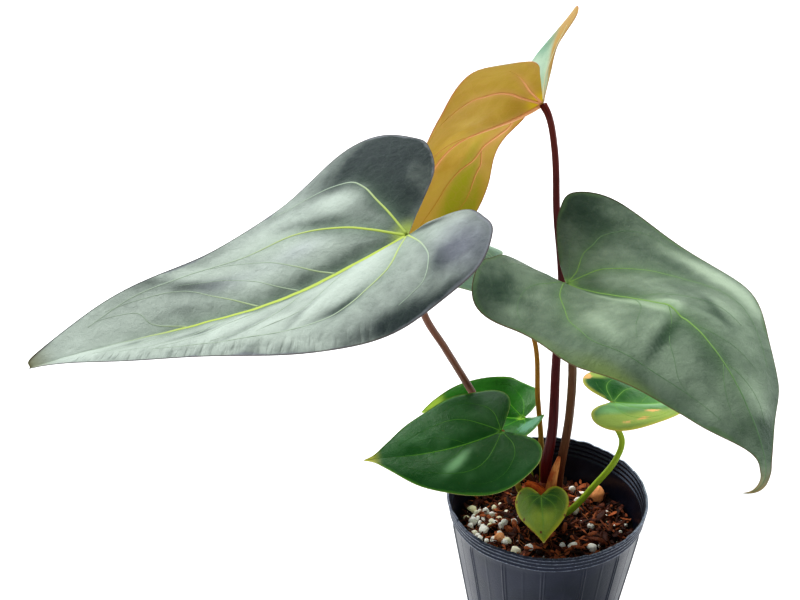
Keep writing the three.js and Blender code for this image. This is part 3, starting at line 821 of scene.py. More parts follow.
@dataclass(frozen=True)
class FibreFinish:
    """Papery or woody tissue with fibres, between two tones."""

    low: Colour
    high: Colour
    rough: float = 0.55

    def material(self, name: str) -> Material:
        """The tissue, with dark fibres along the flat coordinates.

        Args:
            name: Name of the material.

        Returns:
            The material.
        """
        skin = Surface(name)
        fibre = skin.noise(skin.flat(8.0), 1.6, 5, 0.65)
        patch = skin.noise(skin.place(), 0.16, 3, 0.5)
        shade = tuple(0.3 * value for value in self.low)
        colour = skin.layers(self.low, (self.high, patch, 0.35, 0.65),
                             (shade, fibre, 0.45, 0.8, 0.0, 0.75))
        return skin.dress(Base_Color=colour, Roughness=self.rough, Specular_IOR_Level=0.12,
                          Normal=skin.bump(fibre, 0.0005, 0.7))


@dataclass(frozen=True)
class CrumbFinish:
    """Loose matter in three tones, which differ from bit to bit by the attribute `tone`."""

    tones: tuple[Colour, Colour, Colour]
    rough: float
    relief: float
    grain: float
    shade: float = 0.35

    def material(self, name: str) -> Material:
        """The matter, with darker grain.

        Args:
            name: Name of the material.

        Returns:
            The material.
        """
        skin = Surface(name)
        tone, noise = skin.attribute("tone"), skin.noise(skin.place(), self.grain, 5, 0.65)
        low, middle, high = self.tones
        shade = tuple(self.shade * value for value in low)
        colour = skin.layers(low, (middle, tone, 0.0, 0.45), (high, tone, 0.55, 1.0),
                             (shade, noise, 0.4, 0.75, 0.0, 0.6))
        return skin.dress(Base_Color=colour, Roughness=self.rough, Specular_IOR_Level=0.15,
                          Normal=skin.bump(noise, self.relief, 0.8))


@dataclass(frozen=True)
class PlasticFinish:
    """Thin satin plastic, scuffed, with pale wear and painted highlights on the ridge crests and a painted
    backlit glow along the lip.
    """

    deep: Colour = (0.004, 0.005, 0.012)
    pale: Colour = (0.011, 0.0115, 0.025)
    scuff: Colour = (0.07, 0.08, 0.12)
    # Pale of the wear and scuffs, and of the painted highlights and glow on the crests and lip.
    worn_and_lit_pale: Colour = (0.36, 0.41, 0.5)
    tint: Colour = (0.7, 0.8, 1.0)
    rough: float = 0.24

    def material(self, name: str) -> Material:
        """The plastic; a point attribute, 1 at the very rim, carries its pale wear and painted light.

        Args:
            name: Name of the material.

        Returns:
            The material.
        """
        skin = Surface(name)
        place = skin.place()
        cloud, scuff = skin.noise(place, 0.05, 4, 0.6, 0.5), skin.noise(place, 0.9, 5, 0.65)
        # Pale wear and scuffs, with the painted highlight on the crests and the painted glow on the lip.
        wear = skin.total(skin.attribute("wear"), skin.swing(scuff, 1.2))
        colour = skin.layers(self.deep, (self.pale, cloud, 0.35, 0.7),
                             (self.scuff, scuff, 0.62, 0.78, 0.0, 0.25),
                             (self.worn_and_lit_pale, wear, 0.15, 1.0, 0.0, 0.9))
        return skin.dress(Base_Color=colour, Specular_IOR_Level=0.5, Specular_Tint=self.tint,
                          Roughness=skin.total(skin.times(cloud, 0.2), self.rough),
                          Normal=skin.bump(scuff, 0.0003, 0.35))


# VELVET's pale tone is the silvery green of the sheen painted on the velvet leaf.
VELVET = LeafFinish(
    dark=(0.02, 0.03, 0.031), light=(0.4, 0.46, 0.41), halo=(0.17, 0.25, 0.17), vein=(0.36, 0.45, 0.09),
    vein_end=(0.3, 0.37, 0.29), margin=(0.035, 0.02, 0.018), border=(0.16, 0.175, 0.19),
    border_width=0.07, under=(0.2, 0.24, 0.14), under_light=(0.26, 0.3, 0.18),
    under_vein=(0.34, 0.36, 0.18), tint=(0.27, 0.28, 0.34), tip=(0.16, 0.15, 0.04), tip_start=0.92,
    rough=0.5, gloss=0.1, thin=0.02, net=0.05, crease=-21.0,
)
SATIN = LeafFinish(
    dark=(0.022, 0.05, 0.03), light=(0.33, 0.42, 0.31), halo=(0.1, 0.2, 0.07), vein=(0.16, 0.29, 0.07),
    vein_end=(0.1, 0.18, 0.09), margin=(0.1, 0.045, 0.02), border=(0.1, 0.17, 0.08), border_width=0.14,
    under=(0.2, 0.25, 0.14), under_light=(0.25, 0.3, 0.16), under_vein=(0.32, 0.34, 0.16),
    tint=(0.2, 0.28, 0.08), tip=(0.18, 0.14, 0.06), tip_start=0.97, thin=0.03, net=0.06,
)
BRONZE = LeafFinish(
    dark=(0.14, 0.3, 0.2), light=(0.55, 0.72, 0.6), halo=(0.5, 0.7, 0.5), vein=(0.6, 0.4, 0.2),
    vein_end=(0.5, 0.6, 0.4), margin=(0.55, 0.17, 0.09), border=(0.5, 0.4, 0.12), border_width=0.1,
    under=(0.6, 0.34, 0.045), under_light=(0.72, 0.46, 0.09), under_vein=(0.86, 0.42, 0.18),
    under_hub=(0.95, 0.75, 0.02), tint=(0.45, 0.28, 0.06), spot=(0.42, 0.62, 0.4),
    under_spot=(0.46, 0.42, 0.02), tip=(0.4, 0.3, 0.08), tip_start=0.97, thin=0.38, net=0.1, ripple=0.6,
)
MINT = LeafFinish(
    dark=(0.13, 0.26, 0.17), light=(0.36, 0.54, 0.4), halo=(0.34, 0.5, 0.36), vein=(0.45, 0.6, 0.42),
    vein_end=(0.36, 0.5, 0.36), margin=(0.2, 0.2, 0.1), border=(0.3, 0.42, 0.26), border_width=0.3,
    under=(0.35, 0.4, 0.24), under_light=(0.4, 0.44, 0.28), under_vein=(0.5, 0.5, 0.3),
    tip=(0.4, 0.45, 0.2), thin=0.12, ripple=0.3,
)
# GLOSSY's pale tone is whitish, the colour of the highlight painted on the front leaf.
GLOSSY = LeafFinish(
    dark=(0.007, 0.068, 0.01), light=(0.24, 0.46, 0.24), halo=(0.02, 0.12, 0.014), vein=(0.1, 0.28, 0.03),
    vein_end=(0.03, 0.13, 0.015), margin=(0.3, 0.28, 0.08), border=(0.07, 0.22, 0.025), border_width=0.2,
    under=(0.12, 0.22, 0.08), under_light=(0.16, 0.27, 0.1), under_vein=(0.25, 0.33, 0.12),
    tint=(0.3, 0.5, 0.05), spot=(0.42, 0.36, 0.03), tip=(0.46, 0.44, 0.05), tip_start=0.86, rough=0.3,
    gloss=0.16, thin=0.04, net=0.03, speckle=0.1, ripple=0.25,
)
BRIGHT = replace(
    GLOSSY, dark=(0.005, 0.055, 0.004), light=(0.06, 0.29, 0.03), halo=(0.03, 0.22, 0.01),
    vein=(0.14, 0.4, 0.03), spot=(0.15, 0.34, 0.22), tip=(0.34, 0.5, 0.06), tip_start=0.74, thin=0.08,
    border=(0.1, 0.3, 0.02),
)
RIPE = LeafFinish(
    dark=(0.005, 0.075, 0.01), light=(0.24, 0.48, 0.2), halo=(0.12, 0.34, 0.05), vein=(0.22, 0.42, 0.09),
    vein_end=(0.16, 0.34, 0.07), margin=(0.5, 0.24, 0.05), border=(0.56, 0.54, 0.08), border_width=0.36,
    under=(0.3, 0.36, 0.12), under_light=(0.38, 0.42, 0.14), under_vein=(0.4, 0.42, 0.16),
    tint=(0.34, 0.46, 0.1), spot=(0.76, 0.46, 0.16), tip=(0.26, 0.42, 0.06), tip_start=0.8, rough=0.34,
    net=0.05, speckle=0.14, ripple=0.35,
)
LITTLE = replace(
    RIPE, dark=(0.012, 0.075, 0.004), light=(0.3, 0.38, 0.05), halo=(0.14, 0.28, 0.03),
    vein=(0.14, 0.28, 0.03), vein_end=(0.2, 0.3, 0.04), border=(0.42, 0.4, 0.025), border_width=0.6,
    spot=(0.14, 0.045, 0.012), tip=(0.7, 0.7, 0.34), tip_start=0.94, speckle=0.35,
)

BROWN = StalkFinish(Slot.BROWN_PETIOLE, (0.08, 0.025, 0.012), (0.16, 0.07, 0.045),
                    (0.22, 0.1, 0.07), (0.03, 0.012, 0.01))
OLIVE_BROWN = StalkFinish(Slot.BROWN_PETIOLE, (0.09, 0.02, 0.008), (0.1, 0.048, 0.024),
                          (0.15, 0.09, 0.05), (0.045, 0.015, 0.01))
MAROON = StalkFinish(Slot.MAROON_PETIOLE, (0.1, 0.008, 0.008), (0.075, 0.008, 0.01),
                     (0.13, 0.02, 0.014), (0.014, 0.003, 0.004))
OCHRE = StalkFinish(Slot.OLIVE_PETIOLE, (0.2, 0.16, 0.01), (0.3, 0.14, 0.012),
                    (0.34, 0.2, 0.03), (0.1, 0.05, 0.01))
LIME = StalkFinish(Slot.GREEN_PETIOLE, (0.24, 0.38, 0.025), (0.28, 0.4, 0.03),
                   (0.42, 0.5, 0.06), (0.14, 0.22, 0.01))
RUST = StalkFinish(Slot.BROWN_PETIOLE, (0.26, 0.34, 0.04), (0.28, 0.2, 0.03),
                   (0.32, 0.09, 0.03), (0.12, 0.05, 0.015))


# Half outlines from the joint to the tip, along and out in turn, in per cent of the length.
OUTLINES: dict[str, tuple[float, ...]] = {
    "long_left": (0, 0, -9, 7, -15, 14.5, -17, 22.5, -16.5, 30.5, -7, 38.5, 12.5, 38.5, 35, 30.5, 60,
        19.5, 82.5, 11.5, 98.5, 3, 100, 0),
    "long_right": (0, 0, -8.5, 7.5, -15, 14.5, -17.5, 23, -16.5, 30, -7, 39, 12.5, 38, 35, 31, 60, 19.5,
        82.5, 11.5, 98.5, 3.5, 100, 0),
    "broad_left": (0, 0, -7.5, 7.5, -15, 17, -19, 24.5, -19, 32.5, -7, 40, 12.5, 40, 37.5, 35.5, 61, 22,
        81, 13, 94, 3.5, 100, 1.5, 106, 0.9, 112, 0),
    "broad_right": (0, 0, -9, 6.5, -15, 16, -15.5, 24.5, -15.5, 32.5, -7, 41.5, 12.5, 38, 37.5, 37, 62,
        25, 80.5, 14.5, 93.5, 3.5, 100, 1.5, 106, 0.9, 112, 0),
    "new_left": (0, 0, -3.5, 5.5, -7.5, 11, -11.5, 16.5, -12, 26, -7, 38.5, 15, 40, 35, 28.5, 62.5, 20,
        82, 10, 95, 3, 100, 0),
    "new_right": (0, 0, -7, 8.5, -14, 17.5, -26, 21, -21.5, 32, -7.5, 37.5, 16, 40, 34.5, 28, 63, 20.5,
        82, 10, 95, 3, 100, 0),
    "heart": (0, 0, -7.5, 8, -14.5, 17, -17.5, 25, -16, 34, -7.5, 42, 12.5, 44.5, 38, 38.5, 64, 26.5,
        82.5, 11.5, 92, 3.5, 100, 0),
    "slender": (0, 0, -10, 5, -22, 12.5, -28, 22, -23, 33, -9, 39, 12, 37, 35, 29, 60, 19, 82, 8.5, 94, 3,
        100, 0),
    "young": (0, 0, -9, 6, -19, 14.5, -24, 24, -21, 35, -8, 43.5, 12, 44, 38, 37.5, 62.5, 25.5, 82.5, 12,
        93.5, 4.5, 100, 0),
}


@dataclass(frozen=True)
class Vein:
    """One vein of a half, in per cent of the leaf's length."""

    line: tuple[float, ...]  # points from the root outwards, along and out in turn
    width: float = 0.6  # at the root, as a share of the midrib's
    strength: float = 1.0  # how clearly it shows, 0 to 1
    halves: tuple[Half, ...] = (Half.LEFT, Half.RIGHT)  # the halves that have it


@dataclass(frozen=True)
class Patch:
    """A soft spot on the blade, round or long, in per cent of the leaf's length."""

    forward: float  # its middle's way along the midrib
    out: float  # its middle's way out from it, positive on the left half
    along: float  # reach along its own axis
    across: float  # reach across that axis
    turn: float  # degrees from the midrib's direction to its axis, towards the left
    strength: float  # how much it adds; below zero it takes away

    def weight(self, shares: Array) -> Array:
        """A bell over the patch.

        Args:
            shares: Flat points as shares of the leaf's length.

        Returns:
            What the patch adds at each.
        """
        angle = math.radians(self.turn)
        gap = 100 * shares - [self.forward, self.out]
        u = (gap[:, 0] * math.cos(angle) + gap[:, 1] * math.sin(angle)) / self.along
        v = (gap[:, 1] * math.cos(angle) - gap[:, 0] * math.sin(angle)) / self.across
        return self.strength * np.exp(-(u * u + v * v))


def patches(*rows: tuple[float, ...]) -> tuple[Patch, ...]:
    """Patches from rows of their values."""
    return tuple(Patch(*row) for row in rows)


def total_weight(spots: Sequence[Patch], shares: Array) -> Array:
    """The sum of patches at flat points, given as shares of the length."""
    return sum((spot.weight(shares) for spot in spots), 0 * shares[:, 0])


ON_LEFT, ON_RIGHT = (Half.LEFT,), (Half.RIGHT,)
LOBE_VEIN = Vein((0, 0, -3, 6, -7, 12, -10, 18, -11, 25), 0.3, 0.25)
LONG_VEINS = (
    Vein((0, 0, 1, 9, 2, 15, 3, 21, 6, 26, 15, 30, 28, 32), 0.55, 0.75, ON_RIGHT),
    Vein((0, 0, 4, 4, 8, 8, 15, 14, 25, 19, 37, 19, 52, 17.5, 61, 15, 72, 12, 84, 7), 0.6, 0.85,
         ON_RIGHT),
    Vein((20, 0, 25, 4, 29, 8, 36, 14, 44, 17, 52, 17.5), 0.4, 0.4, ON_RIGHT),
    Vein((41, 0, 46, 4, 52, 8, 59, 11, 70, 11, 79, 10), 0.4, 0.4, ON_RIGHT),
    Vein((59, 0, 68, 3, 71, 7, 76, 8, 82, 8), 0.35, 0.35, ON_RIGHT),
    Vein((0, 0, 0, 9, -1, 18, -1, 24, 0, 27, 2, 30, 5, 32, 12, 32.5), 0.5, 0.7, ON_LEFT),
    Vein((0, 0, 2, 9, 6, 16, 9, 19, 12, 20, 17, 21, 27, 22, 40, 20, 55, 16, 70, 11), 0.55, 0.6, ON_LEFT),
    Vein((24, 0, 30, 5, 37, 10, 46, 14, 56, 15), 0.4, 0.3, ON_LEFT),
    Vein((45, 0, 51, 4, 58, 7.5, 68, 9, 78, 8), 0.35, 0.3, ON_LEFT),
    Vein((10, 0, 17, 5, 25, 10, 34, 14.5, 45, 17), 0.3, 0.3, ON_LEFT),
    Vein((35, 0, 41, 4.5, 49, 8, 59, 10.5, 69, 11), 0.3, 0.3, ON_LEFT),
    Vein((60, 0, 66, 3, 74, 5, 84, 5.5), 0.3, 0.25, ON_LEFT),
    Vein((30, 0, 35, 4, 41, 9, 49, 12.5, 60, 13), 0.3, 0.25, ON_RIGHT),
)
BROAD_VEINS = (
    Vein((0, 0, -1, 7, -4, 15, -4, 21, -4, 25, -2, 29, 1, 33, 6, 36, 13, 36), 0.55, 0.7, ON_LEFT),
    Vein((0, 0, 2, 7, 4, 12, 7, 15, 12, 19, 16, 21, 21, 22, 34, 23.5, 46, 23, 58, 19, 70, 14), 0.6, 0.85,
         ON_LEFT),
    Vein((0, 0, 1.5, 6, 2, 12, 1, 18, 1, 24, 3, 29, 7, 33, 13, 34.5), 0.5, 0.65, ON_RIGHT),
    Vein((0, 0, 2, 4.5, 4, 8, 9, 15, 16, 20, 22, 24, 29, 26, 37, 27, 47, 24, 60, 19, 72, 13, 82, 8), 0.6,
         0.7, ON_RIGHT),
    Vein((40, 0, 46, 4, 53, 10, 60, 12.5, 66, 14, 73, 13), 0.4, 0.35, ON_RIGHT),
    Vein((26, 0, 31, 3, 36, 7, 42, 14, 48, 18), 0.4, 0.3, ON_RIGHT),
    Vein((24, 0, 30, 5, 37, 10, 46, 14, 55, 15), 0.4, 0.3, ON_LEFT),
    Vein((50, 0, 56, 3.5, 63, 7, 71, 9), 0.35, 0.3, ON_LEFT),
    Vein((66, 0, 72, 3, 80, 4.5, 87, 3.5), 0.3, 0.3),
    LOBE_VEIN,
)
HEART_VEINS = (
    Vein((0, 0, -1, 7, -2, 15, 0, 23, 5, 29, 13, 33.5, 24, 34, 36, 30), 0.55, 0.7),
    Vein((0, 0, 5, 6, 11, 12, 18, 17.5, 27, 21, 38, 21.5, 50, 19, 62, 15, 74, 9), 0.6, 0.8),
    Vein((26, 0, 33, 5, 41, 9, 50, 11, 60, 10), 0.4, 0.4),
    Vein((48, 0, 55, 3.5, 63, 6, 72, 6), 0.35, 0.3),
    LOBE_VEIN,
)
NEW_VEINS = (
    Vein((0, 0, 4, 7, 6, 12, 9, 17, 13, 22, 15, 25, 18, 28, 22, 30, 27, 30, 34, 27), 0.75, 0.8, ON_LEFT),
    Vein((0, 0, 0, 8, -1, 13, -2, 19, -2, 25), 0.7, 0.9, ON_LEFT),
    Vein((30, 0, 36, 5, 43, 10, 52, 13, 62, 12), 0.5, 0.4, ON_LEFT),
    Vein((0, 0, 6, 10, 13, 20, 19, 27, 25, 31, 30, 26, 35, 20, 41, 16, 47, 11, 54, 8, 60, 7, 72, 5), 0.8,
         0.9, ON_RIGHT),
    Vein((36, 19, 41, 20, 47, 18, 55, 17, 62, 15), 0.5, 0.6, ON_RIGHT),
    Vein((0, 0, -5, 9, -12, 16, -19, 22), 0.5, 0.5, ON_RIGHT),
)


@dataclass(frozen=True)
class Stalk:
    """A petiole; it turns square to the blade near its top and ends just under its middle."""

    points: tuple[Point, ...]  # centre line from the crown up
    radius: tuple[float, float]  # at the base and at the top
    finish: StalkFinish
    turn: float = 7.0  # from what distance it is square to the blade
    gap: float = 0.5  # from the blade's middle to its end


@dataclass(frozen=True)
class Leaf:
    """One leaf, with the same numbers as its solid; pairs are for the left and right half."""

    name: str  # name of its nodes, after blade_ and petiole_
    joint: Point  # where the petiole meets the blade
    length: float  # of the midrib
    heading: float  # direction of the midrib, in degrees from +X
    outline: tuple[str, str]
    pitch: Bends  # rise of the midrib at each station, in degrees
    turn: Bends  # turn of the midrib away from the heading
    roll: Bends  # roll of the blade about the midrib
    fold: tuple[Bends, Bends]  # how far each half stands up from flat
    curl: tuple[Bends, Bends]  # how far each half curls on, out to its margin
    stalk: Stalk
    finish: LeafFinish
    veins: tuple[Vein, ...]
    slot: Slot
    stations: Bends = (-0.3, 0, 0.25, 0.5, 0.75, 1)  # shares of the length where bends are given
    corner: int = 1  # which point of the outline is the lobe's inner corner
    lobes: tuple[float, float] | None = None  # further bend of each lobe
    rings: int = 44  # rings of the fine mesh from the joint to the margin
    steps: int = 6  # pieces between two points of the outline
    midrib: float = 0.7  # width of the midrib's line
    hub: float = 0.035  # reach of the colour round the joint, as a share of the length
    midrib_fade: Share = (0.4, 1.0)  # where along it the midrib begins to fade and has faded
    vein_fade: Share = (0.15, 1.0)  # the same for each side vein
    rib_height: float = 0.4  # of the ribs underneath, as a share of their width
    quilt: float = 0.35  # height of the puffs between the veins
    painted_puff_light: float = 0.25  # painted light on the relief: how much paler the blade is on a puff 1 mm high
    tone: float = 0.4  # how light the upper side is before its patches, 0 to 1
    tones: tuple[Patch, ...] = ()  # lighter and darker patches, partly painted sheen, highlights and shade, partly the leaf's own paler and darker parts
    tints: tuple[Patch, ...] = ()  # patches of the finish's tint
    marks: tuple[Patch, ...] = ()  # patches of its spot colour
    swells: tuple[Patch, ...] = ()  # raised and sunk places, with their height in millimetres


class BentBlade:
    """The bent surface of one leaf.

    A flat point is its way along the midrib from the joint and its way out from it, positive on
    the left, in millimetres. The midrib is a curve in space that follows pitch and turn. Each
    half leaves it at its fold angle and curls on at a steady rate, so a row across it is an arc
    of a circle.
    """

    CURL_REACH = 0.35
    LOBE_REACH = 0.3
    STEP = 0.006

    def __init__(self, leaf: Leaf) -> None:
        """Works out the midrib's curve, moved so that its share 0 is at the joint.

        Args:
            leaf: The leaf and its bends.
        """
        self.leaf = leaf
        self.shares = np.linspace(-0.45, 1.2, 331)
        along, _, _ = self.frame_at((self.shares[1:] + self.shares[:-1]) / 2)
        steps = along * np.diff(self.shares)[:, None] * leaf.length
        spine = np.vstack([np.zeros((1, 3)), np.cumsum(steps, axis=0)])
        self.spine = spine - between(0, self.shares, spine) + np.asarray(leaf.joint, float)

    def read(self, values: Bends, share: Array) -> Array:
        """Values between the stations, on a smooth curve, flat past the ends.

        Args:
            values: One for each station.
            share: Places along the midrib, as shares of its length.

        Returns:
            The value at each place.
        """
        stations, values = np.asarray(self.leaf.stations, float), np.asarray(values, float)
        slopes = np.gradient(values, stations)
        share = np.clip(share, stations[0], stations[-1])
        i = np.clip(np.searchsorted(stations, share, side="right") - 1, 0, len(stations) - 2)
        gap = stations[i + 1] - stations[i]
        return hermite(values[i], values[i + 1], slopes[i] * gap, slopes[i + 1] * gap,
                       (share - stations[i]) / gap)

    def frame_at(self, share: Array) -> tuple[Array, Array, Array]:
        """The blade's directions on the midrib.

        Args:
            share: Places along it, as shares of its length.

        Returns:
            Unit vectors along the midrib, to its left and up from the blade.
        """
        leaf = self.leaf
        pitch, turn, roll = (np.radians(self.read(row, share))
                             for row in (leaf.pitch, leaf.turn, leaf.roll))
        turn = turn + math.radians(leaf.heading)
        along = np.stack([np.cos(pitch) * np.cos(turn), np.cos(pitch) * np.sin(turn),
                          np.sin(pitch)], -1)
        level = np.stack([-np.sin(turn), np.cos(turn), 0 * turn], -1)
        up = np.cross(along, level)
        cosine, sine = np.cos(roll)[..., None], np.sin(roll)[..., None]
        return along, level * cosine + up * sine, up * cosine - level * sine

    def bend(self, rows: tuple[Bends, Bends], share: Array, left: Array) -> Array:
        """In radians, the bend of the half that each point is on, from both halves' degrees."""
        return np.radians(np.where(left, self.read(rows[0], share), self.read(rows[1], share)))

    def place(self, flat: Array) -> Array:
        """Where flat points come to lie: the midrib plus the chord of the arc across.

        Args:
            flat: Rows of flat points.

        Returns:
            Rows of points in millimetres.
        """
        leaf, forward, width = self.leaf, flat[:, 0], np.abs(flat[:, 1])
        share, left = forward / leaf.length, flat[:, 1] >= 0
        rate = self.bend(leaf.curl, share, left) / (self.CURL_REACH * leaf.length)
        angle = self.bend(leaf.fold, share, left) + rate * width / 2
        chord = width * np.sinc(rate * width / 2 / math.pi)
        _, side, up = self.frame_at(share)
        points = (between(share, self.shares, self.spine)
                  + side * (chord * np.cos(angle) * np.where(left, 1, -1))[..., None]
                  + up * (chord * np.sin(angle))[..., None])
        return points + self.lobe_bend(forward, left) if leaf.lobes else points

    def lobe_bend(self, forward: Array, left: Array) -> Array:
        """Behind the joint a lobe bends further, on a circle towards the upper side.

        Args:
            forward: Ways of the points along the midrib.
            left: Which of them are on the left half.

        Returns:
            How far each point moves.
        """
        back = np.maximum(-forward, 0)
        turn = np.radians(np.where(left, *self.leaf.lobes)) * back / (self.LOBE_REACH * self.leaf.length)
        along, _, up = self.frame_at(np.zeros(1))
        pull = back - back * np.sinc(turn / math.pi)
        lift = back * np.sinc(turn / 2 / math.pi) * np.sin(turn / 2)
        return pull[..., None] * along[0] + lift[..., None] * up[0]

    def normal(self, flat: Array) -> Array:
        """Unit normals out of the upper side, from central differences.

        Args:
            flat: Flat points, two numbers each.

        Returns:
            One normal for each point.
        """
        ahead, aside = np.eye(2) * self.STEP * self.leaf.length
        return unit(np.cross(self.place(flat + ahead) - self.place(flat - ahead),
                             self.place(flat + aside) - self.place(flat - aside)))


@dataclass
class VeinLine:
    """A sampled vein in millimetres: flat points, width and strength along it."""

    flat: Array
    width: Array
    strength: Array


class Venation:
    """The veins of one leaf in its flat coordinates, and the relief between them."""

    GAP = 1.3
    CHUNK = 3000

    def __init__(self, leaf: Leaf, margin: Array) -> None:
        """Samples the midrib and every vein that lies inside the margin.

        Args:
            leaf: The leaf and its veins.
            margin: Flat points round the blade.
        """
        self.leaf = leaf
        self.margin = margin
        size = leaf.length / 100
        end = OUTLINES[leaf.outline[0]][-2] * 0.97 * size
        spine = np.linspace(0, end, max(20, int(leaf.length / self.GAP)))
        fade = np.linspace(0, 1, len(spine))
        self.lines = [VeinLine(
            np.stack([spine, 0 * spine], -1), leaf.midrib * (1 - 0.85 * fade**1.6),
            1 - 0.95 * smoothstep(*leaf.midrib_fade, fade))]
        for vein, half in ((vein, half) for vein in leaf.veins for half in vein.halves):
            flat = even_line(in_pairs(vein.line), self.GAP / size) * [size, size * half.sign]
            flat = flat[self.inside(flat)]
            fade = np.linspace(0, 1, len(flat))
            if len(flat) > 4:
                self.lines.append(VeinLine(
                    flat, leaf.midrib * vein.width * (1 - 0.75 * fade),
                    vein.strength * (1 - 0.85 * smoothstep(*leaf.vein_fade, fade))))
        self.samples = np.vstack([line.flat for line in self.lines])
        self.power = np.concatenate([line.strength for line in self.lines])

    def inside(self, flat: Array) -> Array:
        """Which flat points lie inside the margin, by how often a line from each crosses it.

        Args:
            flat: Rows of flat points.

        Returns:
            True for those inside, and for those at the joint.
        """
        loop = np.vstack([[0, 0], self.margin])
        ahead = np.roll(loop, -1, axis=0)
        x, y = flat[:, 0:1], flat[:, 1:2]
        rise = np.where(ahead[:, 1] == loop[:, 1], 1e-9, ahead[:, 1] - loop[:, 1])
        crossing = loop[:, 0] + (y - loop[:, 1]) * (ahead[:, 0] - loop[:, 0]) / rise
        hits = ((loop[:, 1] > y) != (ahead[:, 1] > y)) & (x < crossing)
        return (hits.sum(axis=1) % 2 == 1) | (np.linalg.norm(flat, axis=1) < 1)

    def nearest(self, flat: Array, others: Array, measure: Callable[[Array], Array]) -> Array:
        """A measure of the squared distances from each flat point to others, chunk by chunk.

        Args:
            flat: Rows of flat points.
            others: The points they are measured against.
            measure: Makes one value for each row of squared distances.

        Returns:
            The value of each flat point.
        """
        parts = (flat[start:start + self.CHUNK] for start in range(0, len(flat), self.CHUNK))
        return np.concatenate([measure(((part[:, None] - others) ** 2).sum(-1)) for part in parts])

    def closeness(self, flat: Array, reach: float) -> Array:
        """1 on a strong vein and 0 further than about `reach` leaf lengths from any."""
        return self.nearest(flat, self.samples, lambda gaps: (
            np.exp(-gaps / (reach * self.leaf.length) ** 2) * self.power).max(axis=1))

    def rim_distance(self, flat: Array) -> Array:
        """Distance to the margin in the flat blade."""
        return self.nearest(flat, self.margin, lambda gaps: np.sqrt(gaps.min(axis=1)))

    def pleats(self, flat: Array, rim: Array) -> Array:
        """How strongly the left margin is pleated, 0 to 1: a band a little inside it.

        Args:
            flat: Rows of flat points.
            rim: Their distances from the margin.

        Returns:
            The strength at each.
        """
        forward, out = flat.T / self.leaf.length
        band = bell(rim, 5, 5) * smoothstep(0.02, 0.06, out)
        return band * smoothstep(0.1, 0.25, forward) * (1 - smoothstep(0.9, 1.0, forward))

    def relief(self, flat: Array) -> Array:
        """Height above the smooth blade: puffs between the veins, and swells.

        Args:
            flat: Rows of flat points.

        Returns:
            The height at each, in millimetres.
        """
        leaf, rim = self.leaf, self.rim_distance(flat)
        inner = smoothstep(0, 0.07 * leaf.length, rim)
        puff = 1 - self.closeness(flat, 0.05)
        height = leaf.quilt * inner * (puff - 0.35 + 0.45 * waves(flat, 0.3 * leaf.length, 7))
        return height + total_weight(leaf.swells, flat / leaf.length) * smoothstep(0, 3, rim)


